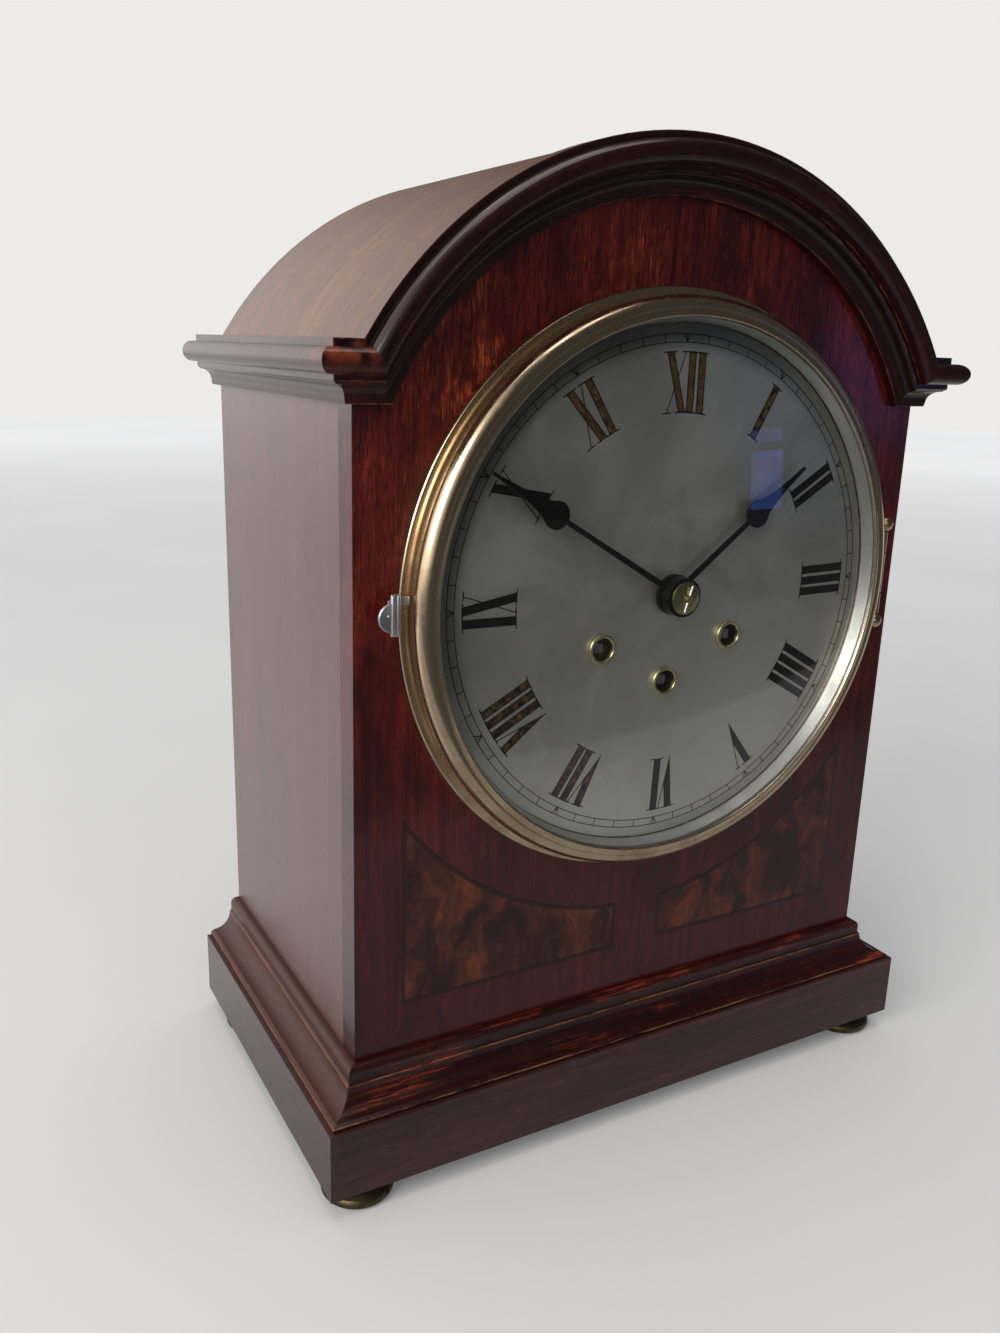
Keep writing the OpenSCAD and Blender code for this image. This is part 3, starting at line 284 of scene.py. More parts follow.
side_wood, tree, shader = finish("side_mahogany")
wood = grain(tree, millimetres(tree), Dark=(0.060, 0.018, 0.014), Ground=(0.105, 0.036, 0.028),
             Light=(0.150, 0.058, 0.044), Flame=(0.20, 0.07, 0.05), Flame_amount=0.25, Pores=0.55)
polish(tree, shader, wood, dull=0.30, skin=0.9)
shader.inputs["Specular IOR Level"].default_value = 0.5
dress(["side_left", "side_right"], side_wood)


# The front panel: one wide board of darker, redder mahogany with its grain standing, its figure
# breaking into bright flecks under the arch, painted brightest at the upper left as a painted highlight.
# It is stained, filled and french polished to a full gloss.
front_wood, tree, shader = finish("front_mahogany")
place = millimetres(tree, shift=(37, 0, 11))
wood = grain(tree, place, Dark=(0.028, 0.0028, 0.003), Ground=(0.102, 0.0080, 0.0068),
             Light=(0.185, 0.0165, 0.0095), Flame=(0.30, 0.045, 0.014), Flame_amount=0.0, Pores=0.9)
at = parts(tree, lay(tree, "TexCoord").outputs["Object"])
under_arch = remap(tree, at[2], 0.17, 0.33, 0.05, 1.0)
to_left = remap(tree, at[0], 0.06, -0.10, 0.22, 1.0)
# The bright flecks are real figure, but are kept to the upper left as a painted highlight where the window
# light catches them.
painted_glint_side = times(tree, under_arch, to_left)
drift = strewn(tree, place, (0.030, 0.030, 0.022), 3, 0.6, 0.6)
flecks = strewn(tree, place, (0.20, 0.20, 0.085), 4, 0.7, 0.9)
threads = strewn(tree, place, (1.5, 1.5, 0.09), 3, 0.65, 0.2)
flame = share(tree, flecks, 0.55, times(tree, drift, 0.45))
flame = times(tree, remap(tree, flame, 0.48, 0.68), remap(tree, threads, 0.36, 0.66))
colour = tint(tree, times(tree, flame, painted_glint_side), wood["Color"], (0.50, 0.082, 0.020))
smoky = remap(tree, strewn(tree, place, (0.045, 0.045, 0.02), 3, 0.6, 0.8), 0.46, 0.68, 0.0, 0.70)
colour = tint(tree, smoky, colour, (0.018, 0.003, 0.0035))
ticks = remap(tree, strewn(tree, place, (3.4, 3.4, 0.20), 1, 0.5), 0.55, 0.63, 0.0, 0.85)
colour = tint(tree, times(tree, ticks, under_arch), colour, (0.012, 0.002, 0.002))
foot = remap(tree, at[2], 0.21, 0.10, 0.0, 0.55)
colour = tint(tree, foot, colour, (0.028, 0.0065, 0.0075))
polish(tree, shader, wood, colour, dull=0.12, skin=0.6)
dress(["front_panel"], front_wood)


# The barrel roof: mahogany veneer bent over the arch with its grain following the curve, chestnut
# brown and softer in gloss than the front. It is glued down and dies behind the arch moulding.
ARCH_CENTRE, ARCH_RADIUS = 0.24546, 0.15104


def reach(tree, across, along):
    """The distance from a centre, given the offsets both ways."""
    return figure(tree, "SQRT", figure(tree, "MULTIPLY_ADD", across, across, times(tree, along, along)))


arch_run, given, made = effect("arch_run", {"Place": "v"}, {"Run": "v", "Radius": "f"})
at = parts(arch_run, given["Place"])
above = figure(arch_run, "SUBTRACT", at[2], ARCH_CENTRE)
angle = figure(arch_run, "ARCTAN2", at[0], above)
radius = times(arch_run, reach(arch_run, at[0], above), 1000)
run = lay(arch_run, "CombineXYZ", {0: radius, 1: times(arch_run, at[1], 1000),
                                   2: times(arch_run, angle, ARCH_RADIUS * 1000)}).outputs[0]
put(arch_run, run, made["Run"])
put(arch_run, radius, made["Radius"])


def along_arch(tree):
    """The place on the arch, with Z running round it, and the radius in millimetres."""
    place = lay(tree, "TexCoord").outputs["Object"]
    return lay(tree, "Group", {"Place": place}, node_tree=arch_run).outputs


roof_wood, tree, shader = finish("roof_mahogany")
wood = grain(tree, along_arch(tree)["Run"], Dark=(0.062, 0.017, 0.008), Ground=(0.145, 0.044, 0.017),
             Light=(0.235, 0.084, 0.032), Flame=(0.29, 0.105, 0.036), Flame_amount=0.5, Pores=0.6)
polish(tree, shader, wood, dull=0.24, skin=0.75)
dress(["roof"], roof_wood)


# The cornice and the arch moulding: one run profile in dark stained mahogany, mitred at the corners and
# at the springing of the arch. Polish has worn off its arrises, and its hollows carry a painted shade.
CORNICE_FOOT, ARCH_FOOT, FRONT_FACE, CASE_HALF = 302.6, 130.44, -70.1, 130.0

arris_wear_and_shade, given, made = effect("arris_wear_and_shade", {"Over": "f", "Up": "f", "Place": "v"},
                                 {"Worn": "f", "Painted shade": "f"})


def spots(tree, over, up, points, size):
    """How near a point of the profile is to the nearest of its named corners."""
    total = None
    for point_over, point_up in points:
        across = figure(tree, "SUBTRACT", over, point_over)
        along = figure(tree, "SUBTRACT", up, point_up)
        near = remap(tree, reach(tree, across, along), size, size * 0.2, how="LINEAR")
        total = near if total is None else figure(tree, "MAXIMUM", total, near)
    return total


patchy = remap(arris_wear_and_shade, strewn(arris_wear_and_shade, given["Place"], (0.5, 0.5, 0.11), 5, 0.78), 0.44, 0.60)
ARRISES = ((3.9, 0.1), (10.0, 7.4), (10.0, 9.5), (10.2, 20.6))
HOLLOWS = ((4.4, 5.2), (5.4, 6.3), (8.9, 6.8), (10.1, 18.0), (11.2, 17.9))
worn = spots(arris_wear_and_shade, given["Over"], given["Up"], ARRISES, 0.48)
put(arris_wear_and_shade, times(arris_wear_and_shade, worn, patchy), made["Worn"])
# The hollows of the profile are darkened: painted shade.
put(arris_wear_and_shade, spots(arris_wear_and_shade, given["Over"], given["Up"], HOLLOWS, 2.2), made["Painted shade"])


def overhang(tree, returned):
    """How far a moulding stands out from the case: to the front only, or to the sides too."""
    at = parts(tree, millimetres(tree))
    front = figure(tree, "SUBTRACT", FRONT_FACE, at[1])
    side = figure(tree, "SUBTRACT", figure(tree, "ABSOLUTE", at[0]), CASE_HALF)
    return (figure(tree, "MAXIMUM", front, side) if returned else front), at


def left_return(tree, at):
    """The lengths of moulding along the left side, painted paler as a painted sheen of the window light."""
    return figure(tree, "GREATER_THAN", figure(tree, "SUBTRACT", at[1], at[0]), CASE_HALF + FRONT_FACE)


def run_moulding(name, arched):
    """The finish of a length of cornice, straight or bent round the arch."""
    material, tree, shader = finish(name)
    over, at = overhang(tree, not arched)
    if arched:
        arch = along_arch(tree)
        place, up = arch["Run"], figure(tree, "SUBTRACT", arch["Radius"], ARCH_FOOT)
    else:
        place, up = millimetres(tree, turn=(90, 0, 0)), figure(tree, "SUBTRACT", at[2], CORNICE_FOOT)
    wood = grain(tree, place, Dark=(0.006, 0.0012, 0.0014), Ground=(0.018, 0.0026, 0.0028),
                 Light=(0.052, 0.0075, 0.0060), Flame=(0.22, 0.035, 0.012),
                 Flame_amount=0.10, Pores=0.5)
    wear_and_shade = lay(tree, "Group", {"Over": over, "Up": up, "Place": place}, node_tree=arris_wear_and_shade).outputs
    # The hollows of the profile are darkened: painted shade.
    colour = tint(tree, times(tree, wear_and_shade["Painted shade"], 0.75), wood["Color"], (0.006, 0.003, 0.003))
    bare_right = remap(tree, at[0], -70.0, 40.0, 0.12, 0.50) if arched else 0.6
    colour = tint(tree, times(tree, wear_and_shade["Worn"], bare_right), colour, (0.30, 0.095, 0.035))
    if arched:
        colour = tint(tree, remap(tree, up, 20.35, 20.55, 0.0, 0.85), colour, (0.115, 0.040, 0.019))
    else:
        # The left return is painted paler: a painted sheen of the window light from the left.
        colour = tint(tree, times(tree, left_return(tree, at), 0.6), colour, (0.080, 0.030, 0.021))
        bare = remap(tree, strewn(tree, millimetres(tree), (0.10, 0.10, 0.10), 3, 0.6), 0.40, 0.60)
        corner = times(tree, remap(tree, at[1], -71.0, -79.0), remap(tree, at[0], -124.0, -131.0))
        bull = remap(tree, up, 12.0, 17.0, 0.25, 1.0)
        rubbed = times(tree, times(tree, corner, bull), bare)
        colour = tint(tree, times(tree, rubbed, 0.7), colour, (0.24, 0.040, 0.013))
    gloss = share(tree, wear_and_shade["Worn"], 0.15, wood["Gloss"])
    polish(tree, shader, wood, colour, gloss, dull=0.15, skin=0.6, ease=0.0006)
    return material


dress(["cornice_left", "cornice_right"], run_moulding("cornice_mahogany", False))
dress(["arch_moulding"], run_moulding("arch_mahogany", True))


# The plinth: a deep flat board round the foot of the case, mitred at the front corners, brown
# mahogany with its grain lying level. The same wood makes the frame and the door of the back.

def level_wood(name, **values):
    """Boards whose grain lies level: along X in front, along Y on the returns."""
    material, tree, shader = finish(name)
    place = millimetres(tree)
    at = parts(tree, place)
    lying_x = lay(tree, "CombineXYZ", {0: at[1], 1: at[2], 2: at[0]}).outputs[0]
    lying_y = lay(tree, "CombineXYZ", {0: at[0], 1: at[2], 2: at[1]}).outputs[0]
    is_return = figure(tree, "GREATER_THAN", figure(tree, "SUBTRACT", figure(tree, "ABSOLUTE", at[0]),
                                                    CASE_HALF), figure(tree, "SUBTRACT", FRONT_FACE, at[1]))
    place = lay(tree, "Mix", {0: is_return, 4: lying_x, 5: lying_y}, data_type="VECTOR").outputs[1]
    return material, tree, shader, place, grain(tree, place, **values)


plinth_wood, tree, shader, place, wood = level_wood(
    "plinth_mahogany", Dark=(0.022, 0.0075, 0.0075), Ground=(0.048, 0.0155, 0.0145),
    Light=(0.080, 0.0260, 0.0215), Flame=(0.11, 0.032, 0.022), Flame_amount=0.3, Pores=0.7)
polish(tree, shader, wood, dull=0.24, skin=0.7)
dress(["plinth"], plinth_wood)

back_wood, tree, shader = finish("back_mahogany")
wood = grain(tree, millimetres(tree, shift=(11, 3, 70)), Dark=(0.040, 0.018, 0.012),
             Ground=(0.085, 0.038, 0.024), Light=(0.14, 0.068, 0.042), Flame=(0.17, 0.08, 0.045),
             Flame_amount=0.25, Pores=0.8)
polish(tree, shader, wood, dull=0.30, skin=0.45)
dress(["back_frame", "rear_door"], back_wood)


# The plinth moulding: a deep cove between two fillets and a round, planted on top of the plinth.
# It is dark red, flecked with bright figure in the hollow and rubbed pale along both its edges.
PLINTH_TOP = 38.0
hollow_wood, tree, shader, place, wood = level_wood(
    "plinth_moulding_mahogany", Dark=(0.009, 0.0018, 0.0016), Ground=(0.026, 0.0042, 0.0038),
    Light=(0.070, 0.0100, 0.0065), Flame=(0.30, 0.055, 0.016), Flame_amount=0.1, Pores=0.5)
over, at = overhang(tree, True)
up = figure(tree, "SUBTRACT", at[2], PLINTH_TOP)
edges = spots(tree, over, up, ((14.6, 1.4), (5.0, 10.6)), 0.55)
broken = remap(tree, strewn(tree, place, (0.6, 0.6, 0.06), 5, 0.78), 0.40, 0.58)
streaks = times(tree, remap(tree, strewn(tree, place, (0.06, 0.06, 0.016), 3, 0.6, 0.4), 0.52, 0.68),
                remap(tree, strewn(tree, place, (0.9, 0.9, 0.05), 4, 0.7, 0.5), 0.48, 0.64))
flecked = tint(tree, times(tree, streaks, 0.8), wood["Color"], (0.34, 0.040, 0.012))
rubbed = times(tree, edges, broken)
# Painted shade: dark lines where the moulding meets the front panel above and the plinth below.
colour = tint(tree, times(tree, spots(tree, over, up, ((4.2, 12.0), (15.4, 0.2)), 1.4), 0.8),
              flecked, (0.008, 0.003, 0.003))
# The left return is painted paler: a painted sheen of the window light from the left. Its skin is also
# thinner there.
painted_sheen_side = left_return(tree, at)
colour = tint(tree, times(tree, painted_sheen_side, 0.55), colour, (0.090, 0.030, 0.021))
colour = tint(tree, times(tree, rubbed, 0.72), colour, (0.34, 0.125, 0.050))
gloss = share(tree, rubbed, 0.2, wood["Gloss"])
polish(tree, shader, wood, colour, gloss, dull=0.17, skin=share(tree, painted_sheen_side, -0.45, 0.7))
dress(["plinth_moulding"], hollow_wood)


# The inlay: two shaped panels of burr veneer let into the front below the dial, each edged with a
# dark stringing line. The burr is all small eyes and curls, golden brown over near black.

def slanted(tree, vector, slant, sizes):
    """A vector leaned over by an angle and stretched by three sizes."""
    return lay(tree, "Mapping", {"Vector": vector, "Rotation": (0, math.radians(slant), 0),
                                 "Scale": sizes}).outputs[0]


burr, tree, shader = finish("burr_veneer")
place = millimetres(tree)
drift = lay(tree, "TexNoise", {"Vector": stretched(tree, place, (0.035, 0.035, 0.035)),
                               "Scale": 1.0, "Detail": 3.0}).outputs[1]
curled = lay(tree, "VectorMath", {0: place, 1: stretched(tree, drift, (22, 22, 22))},
             operation="ADD").outputs[0]
curl = cloud(tree, slanted(tree, curled, 32, (0.085, 0.085, 0.034)), 1, 5, 0.62, 0.7)
eyes = lay(tree, "TexVoronoi", {"Vector": stretched(tree, curled, (0.07, 0.07, 0.07)), "Scale": 1.0},
           feature="F1").outputs["Distance"]
hair = cloud(tree, slanted(tree, curled, 20, (0.9, 0.9, 0.16)), 1, 4, 0.65, 0.6)
colour = tint(tree, remap(tree, curl, 0.36, 0.58), (0.018, 0.0045, 0.003), (0.058, 0.0125, 0.0062))
colour = tint(tree, remap(tree, curl, 0.50, 0.74), colour, (0.150, 0.031, 0.012))
colour = tint(tree, remap(tree, eyes, 0.34, 0.05, 0.0, 0.8), colour, (0.016, 0.004, 0.003))
colour = tint(tree, remap(tree, hair, 0.50, 0.72, 0.0, 0.45), colour, (0.030, 0.007, 0.004))
polish(tree, shader, {"Height": hair}, colour, times(tree, curl, 0.08), dull=0.12, skin=0.6)
dress(["inlay_left", "inlay_right"], burr)

line_wood, tree, shader = finish("stringing_line")
specks = strewn(tree, millimetres(tree), (1.2, 1.2, 1.2), 3)
stained = tint(tree, specks, (0.010, 0.004, 0.003), (0.030, 0.011, 0.007))
polish(tree, shader, {"Height": specks}, stained, times(tree, specks, 0.1), dull=0.13, skin=0.6)
dress(["stringing"], line_wood)


# The bun feet: four turned brass buns screwed up into the plinth, gone dull and olive brown.

patina, given, made = effect("patina", {"Place": "v", "Bright": "c", "Tarnish": "c", "Amount": "f"},
                             {"Color": "c", "Rough": "f", "Height": "f"})
mottle = strewn(patina, given["Place"], (0.05, 0.05, 0.05), 5, 0.68, 0.6)
grit = strewn(patina, given["Place"], (0.7, 0.7, 0.7), 2, 0.55)
stain = times(patina, remap(patina, mottle, 0.40, 0.68), given["Amount"])
gritty = times(patina, remap(patina, grit, 0.5, 0.75), given["Amount"])
stain = figure(patina, "MULTIPLY_ADD", gritty, 0.22, stain, clamp=True)
put(patina, tint(patina, stain, given["Bright"], given["Tarnish"]), made["Color"])
put(patina, share(patina, stain, 0.22, times(patina, grit, 0.03)), made["Rough"])
put(patina, share(patina, grit, 0.5, times(patina, stain, -0.4)), made["Height"])


def metal(name, bright, tarnish, amount, rough, ease=0.0003, lathe=None, depth=0.00003):
    """A metal with a patina: its polish roughens where it stains. A lathe leaves rings round an axis."""
    material, tree, shader = finish(name)
    place = millimetres(tree)
    skin = lay(tree, "Group", {"Place": place, "Bright": bright, "Tarnish": tarnish, "Amount": amount},
               node_tree=patina).outputs
    height, rough_now = skin["Height"], figure(tree, "ADD", skin["Rough"], rough)
    if lathe:
        at = parts(tree, place)
        off = [figure(tree, "SUBTRACT", at[axis], centre) for axis, centre in zip((0, 2), lathe)]
        rings = lay(tree, "CombineXYZ", {0: reach(tree, *off), 1: at[1]}).outputs[0]
        height = strewn(tree, rings, (0.7, 0.7, 0.7), 1, 0.5)
        rough_now = share(tree, figure(tree, "SUBTRACT", height, 0.5), 0.10, rough_now)
    bump = lay(tree, "Bump", {"Strength": 0.25, "Distance": depth, "Height": height})
    if ease:
        tree.links.new(lay(tree, "Bevel", {"Radius": ease}, samples=4).outputs[0], bump.inputs["Normal"])
    wire(tree, shader, Base_Color=skin["Color"], Metallic=1.0, Roughness=rough_now,
         Normal=bump.outputs[0])
    return material


dress(["feet"], metal("dull_foot_brass", (0.16, 0.12, 0.065), (0.045, 0.034, 0.022), 1.0, 0.36))


# The dial ring: a heavy brass ring turned with a rounded edge and pinned to the front of the case.
# Two knuckles brazed to its right-hand side carry the pin of the hinge.
DIAL_HEIGHT, HINGE_X, HINGE_OUT = 231.0, 117.2, 5.5
bezel_brass = metal("lacquered_brass", (0.72, 0.57, 0.39), (0.46, 0.30, 0.19), 0.6, 0.16, ease=0,
                    lathe=(0.0, DIAL_HEIGHT), depth=0.00001)


def open_piece(name):
    """A new empty piece, opened for drawing in millimetres: X to the right, Y up, Z out of the case front."""
    bpy.ops.object.select_all(action="DESELECT")
    bpy.ops.mesh.primitive_plane_add(size=1)
    piece = bpy.context.object
    piece.name = name
    bpy.ops.object.mode_set(mode="EDIT")
    bpy.ops.mesh.delete(type="VERT")
    return piece


def turn(profile, centre, axis, steps):
    """Draws a closed profile point by point in the open piece, and turns it round an axis."""
    bpy.ops.mesh.select_all(action="DESELECT")
    bpy.ops.mesh.primitive_plane_add(size=0.1, location=profile[0])
    bpy.ops.mesh.merge(type="CENTER")
    for here, there in zip(profile, profile[1:] + profile[:1]):
        step = [b - a for a, b in zip(here, there)]
        bpy.ops.mesh.extrude_vertices_move(TRANSFORM_OT_translate={"value": step})
    bpy.ops.mesh.select_linked()
    bpy.ops.mesh.remove_doubles(threshold=0.001)
    bpy.ops.mesh.spin(steps=steps, angle=math.tau, center=centre, axis=axis)
    bpy.ops.mesh.select_linked()
    bpy.ops.mesh.remove_doubles(threshold=0.001)


def curve_points(centre, radius, start, stop, count):
    """Points on a rounded edge of a profile."""
    turns = [math.radians(start + (stop - start) * i / count) for i in range(count + 1)]
    return [(centre[0] + radius * math.cos(a), centre[1] + radius * math.sin(a)) for a in turns]


def lump(low, high, rounding, steps):
    """A block between two corners, its edges rounded off, in the open piece."""
    centre = [(a + b) / 2 for a, b in zip(low, high)]
    bpy.ops.mesh.select_all(action="DESELECT")
    bpy.ops.mesh.primitive_cube_add(size=1, location=centre)
    bpy.ops.transform.resize(value=[b - a for a, b in zip(low, high)], center_override=centre)
    bpy.ops.mesh.bevel(offset=rounding, segments=steps, affect="EDGES")


def stand_up(piece, x=0, height=DIAL_HEIGHT, front=FRONT_FACE, facing=0.0):
    """Stands a piece upright on the clock, facing forward or turned, and fixes it there."""
    bpy.ops.object.mode_set(mode="OBJECT")
    piece.scale = (0.001, 0.001, 0.001)
    piece.rotation_euler = (math.pi / 2, 0, facing)
    piece.location = (x / 1000, front / 1000, height / 1000)
    bpy.ops.object.transform_apply()


def close_up(piece):
    """Merges what meets, turns every face outward and smooths the faces that nearly agree."""
    bpy.ops.object.mode_set(mode="EDIT")
    bpy.ops.mesh.select_all(action="SELECT")
    bpy.ops.mesh.remove_doubles(threshold=0.000001)
    bpy.ops.mesh.normals_make_consistent(inside=False)
    bpy.ops.object.mode_set(mode="OBJECT")
    bpy.ops.object.shade_smooth_by_angle(angle=math.radians(35))


def knuckle(low, high, web_from, web_back, web_front):
    """One knuckle of the hinge between two heights, with the web that joins it to its ring."""
    barrel = ((1.0, low), (1.35, low), (1.6, low + 0.25), (1.6, high - 0.25), (1.35, high), (1.0, high))
    turn([(HINGE_X + r, y, HINGE_OUT) for r, y in barrel], (HINGE_X, 0, HINGE_OUT), (0, 1, 0), 32)
    lump((web_from, low, web_back), (HINGE_X - 1.1, high, web_front), 0.2, 2)


def turned_ring(profile):
    """Turns a ring round the dial's centre, its profile given by radius and height above the case front."""
    turn([(radius, 0, out) for radius, out in profile], (0, 0, 0), (0, 0, 1), 240)


BORE, EDGE, FACE = 96.0, 114.6, 4.3
LOW_KNUCKLE, HIGH_KNUCKLE, KNUCKLE_LONG = -18.3, 9.2, 9.1
dial_ring = open_piece("turned_dial_ring")
turned_ring([(BORE, 0.0), (EDGE, 0.0), (EDGE, 3.3)] + curve_points((113.7, 3.4), 0.9, 8, 90, 7)
            + [(BORE, FACE)])
for low in (LOW_KNUCKLE, HIGH_KNUCKLE):
    knuckle(low, low + KNUCKLE_LONG, web_from=112.0, web_back=4.9, web_front=6.0)
stand_up(dial_ring)
close_up(dial_ring)
dial_ring.data.materials.append(bezel_brass)
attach(dial_ring, "case")
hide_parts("dial_ring")


# The bezel: a hollow-rolled brass rim that frames the glass, lacquered a pale warm gold, its lacquer
# gone in spots. It is turned thin, with a small round lip inside, and swings on a pin with ball ends.
bezel = open_piece("turned_bezel")
back = [(104.8, 4.5), (111.0, 4.5), (111.15, 6.0), (111.4, 6.4), (111.5, 7.2)]
roll = curve_points((106.9, 10.0), 4.6, 0, 84, 18)
hollow = [(107.0, 14.56), (106.5, 14.50), (106.0, 14.55)]
lip = curve_points((104.4, 14.5), 0.6, 60, 165, 7)
turned_ring(back + roll + hollow + lip + [(103.9, 14.4), (104.8, 14.4)])
knuckle(-8.9, 8.9, web_from=110.2, web_back=5.0, web_front=6.3)
stand_up(bezel)
close_up(bezel)
bezel.data.materials.append(bezel_brass)
dress(["bezel_hinge_pin"], bezel_brass)
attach(bezel, "bezel")
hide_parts("bezel")


# The slip: a thin silvered band coned inward from the glass to the dial, sprung into the back of the
# bezel. It is the bright rim seen between the brass and the minute track.
slip = open_piece("silvered_slip")
turned_ring([(102.0, 6.6), (104.7, 6.6), (104.7, 12.2), (103.3, 12.2), (103.0, 11.9), (102.2, 7.4),
             (102.0, 7.2)])
stand_up(slip)
close_up(slip)
slip_silver = metal("silvered_slip", (0.50, 0.505, 0.48), (0.36, 0.355, 0.315), 0.5, 0.36, ease=0,
                    lathe=(0.0, DIAL_HEIGHT), depth=0.00001)
slip.data.materials.append(slip_silver)
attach(slip, "bezel")
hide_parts("bezel_slip")


# The catch tab: a half-round thumb piece stamped from nickelled brass, with a fluted upright down its
# straight side and a lug at the top that is soldered to the rim of the bezel.
TAB_X, TAB_HEIGHT, TAB_BACK, TAB_RADIUS, TAB_THICK = -118.3, 231.4, -76.9, 5.3, 0.7
tab_nickel = metal("nickel_tab", (0.66, 0.66, 0.70), (0.38, 0.38, 0.42), 0.5, 0.34, ease=0.0002)

tab = open_piece("thumb_tab")
bpy.ops.mesh.primitive_circle_add(vertices=72, radius=TAB_RADIUS, fill_type="NGON")
bpy.ops.mesh.bisect(plane_co=(0.4, 0, 0), plane_no=(1, 0, 0), clear_outer=True)
bpy.ops.mesh.select_all(action="SELECT")
bpy.ops.mesh.extrude_region_move(TRANSFORM_OT_translate={"value": (0, 0, TAB_THICK)})
bpy.ops.mesh.inset(thickness=0.35)
bpy.ops.transform.translate(value=(0, 0, 0.3))
bpy.ops.mesh.inset(thickness=0.5)
bpy.ops.transform.translate(value=(0, 0, -0.18))
lump((-0.7, -6.7, 0.0), (2.9, 8.2, 1.0), 0.35, 3)
for rib in (0.15, 2.1):
    lump((rib - 0.5, -6.3, 0.7), (rib + 0.5, 7.7, 1.3), 0.28, 3)
lump((-1.7, 3.6, 0.05), (0.4, 6.3, 0.75), 0.3, 2)
lump((2.2, 4.2, 0.0), (6.4, 7.2, 0.6), 0.25, 2)
bpy.ops.mesh.select_all(action="DESELECT")
bpy.ops.mesh.primitive_uv_sphere_add(segments=16, ring_count=10, radius=0.45, location=(-1.6, 0.7, 0.8))
bpy.ops.transform.resize(value=(1, 1, 0.7), center_override=(-1.6, 0.7, 0.8))
stand_up(tab, TAB_X, TAB_HEIGHT, TAB_BACK)
close_up(tab)
tab.data.materials.append(tab_nickel)
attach(tab, "bezel")
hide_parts("catch_tab")


# The convex glass: thin, colourless and polished, held in the bezel's groove behind the slip.
# Lamps shine through it, so that the dial is lit as it is behind a real pane.
pane, tree, shader = finish("dial_glass")
smears = strewn(tree, millimetres(tree), (0.03, 0.03, 0.03), 4, 0.6, 0.5)
wire(tree, shader, Base_Color=(1, 1, 1), IOR=1.45, Transmission_Weight=1.0,
     Roughness=remap(tree, smears, 0.45, 0.75, 0.0, 0.035))
lamp_light = lay(tree, "BsdfTransparent", {0: (0.93, 0.95, 0.94)})
through = lay(tree, "MixShader", {0: lay(tree, "LightPath").outputs["Is Shadow Ray"], 1: shader.outputs[0],
                                  2: lamp_light.outputs[0]})
tree.links.new(through.outputs[0], tree.nodes["Material Output"].inputs["Surface"])

GLASS_EDGE, GLASS_RISE, GLASS_THICK, GLASS_RIM = 104.6, 8.3, 2.0, 14.2
blown = (GLASS_EDGE ** 2 + GLASS_RISE ** 2) / (2 * GLASS_RISE)
glass = open_piece("domed_glass")
bpy.ops.mesh.primitive_uv_sphere_add(segments=160, ring_count=380, radius=blown,
                                     location=(0, 0, GLASS_RIM + GLASS_RISE - blown))
bpy.ops.mesh.bisect(plane_co=(0, 0, GLASS_RIM), plane_no=(0, 0, 1), clear_inner=True)
stand_up(glass)
close_up(glass)
wall = glass.modifiers.new("thickness", "SOLIDIFY")
wall.thickness, wall.offset = GLASS_THICK / 1000, -1
bpy.ops.object.modifier_apply(modifier=wall.name)
bpy.ops.object.shade_smooth_by_angle(angle=math.radians(35))
glass.data.materials.append(pane)
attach(glass, "bezel")
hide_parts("glass")


# The dial: a brass plate silvered and lacquered, grey green with age, faintly mottled and wiped.
# It is pinned to the front of the movement, and the numerals are cut in it and filled with wax.
dial_silver, tree, shader = finish("silvered_dial")
place = millimetres(tree)
mist = strewn(tree, place, (0.016, 0.016, 0.016), 4, 0.62, 0.8)
spots_of_age = strewn(tree, place, (0.4, 0.4, 0.4), 4, 0.7, 0.3)
wipes = strewn(tree, place, (0.5, 0.5, 0.05), 3, 0.6, 0.4)
colour = tint(tree, remap(tree, mist, 0.32, 0.68), (0.390, 0.388, 0.328), (0.585, 0.585, 0.510))
at = parts(tree, place)
high = figure(tree, "SUBTRACT", at[2], DIAL_HEIGHT)
# Painted shadow: the bezel's shadow darkens the dial's margin, most at the upper left.
up_left = share(tree, high, 0.8, times(tree, at[0], -0.6))
painted_rim_shadow = times(tree, remap(tree, reach(tree, at[0], high), 90.0, 97.5),
                  remap(tree, up_left, -20.0, 75.0, 0.12, 0.80))
colour = tint(tree, painted_rim_shadow, colour, (0.062, 0.060, 0.050))
# Painted reflection: the dial is painted paler toward the lower right, as if mirroring the pale cloth below.
painted_reflection_low = share(tree, high, -0.9, times(tree, at[0], 0.3))
colour = tint(tree, remap(tree, painted_reflection_low, -10.0, 90.0, 0.0, 0.55), colour, (0.92, 0.92, 0.86))
colour = tint(tree, remap(tree, spots_of_age, 0.60, 0.78, 0.0, 0.35), colour, (0.17, 0.155, 0.12))
rough = share(tree, mist, 0.10, share(tree, wipes, 0.08, 0.30))
bump = lay(tree, "Bump", {"Strength": 0.15, "Distance": 0.00002, "Height": spots_of_age}).outputs[0]
wire(tree, shader, Base_Color=colour, Metallic=0.85, Roughness=rough, Normal=bump)
dress(["dial_plate"], dial_silver)


# The hour numerals: roman figures engraved with their feet toward the centre and filled with black
# wax. At the top and at the lower left the wax has worn down to brown inside its dark edges.
TRACK_FACE, WAX_PROUD, WAX_SUNK = -0.0764, 0.00004, 0.00002
NUMERAL_HEAD, NUMERAL_FOOT = 91.5, 69.0
THICK, THIN, SERIF, PAST = 3.45, 0.44, 0.50, 1.45
HAIR_HEAD, HAIR_FOOT = 0.4, 0.6


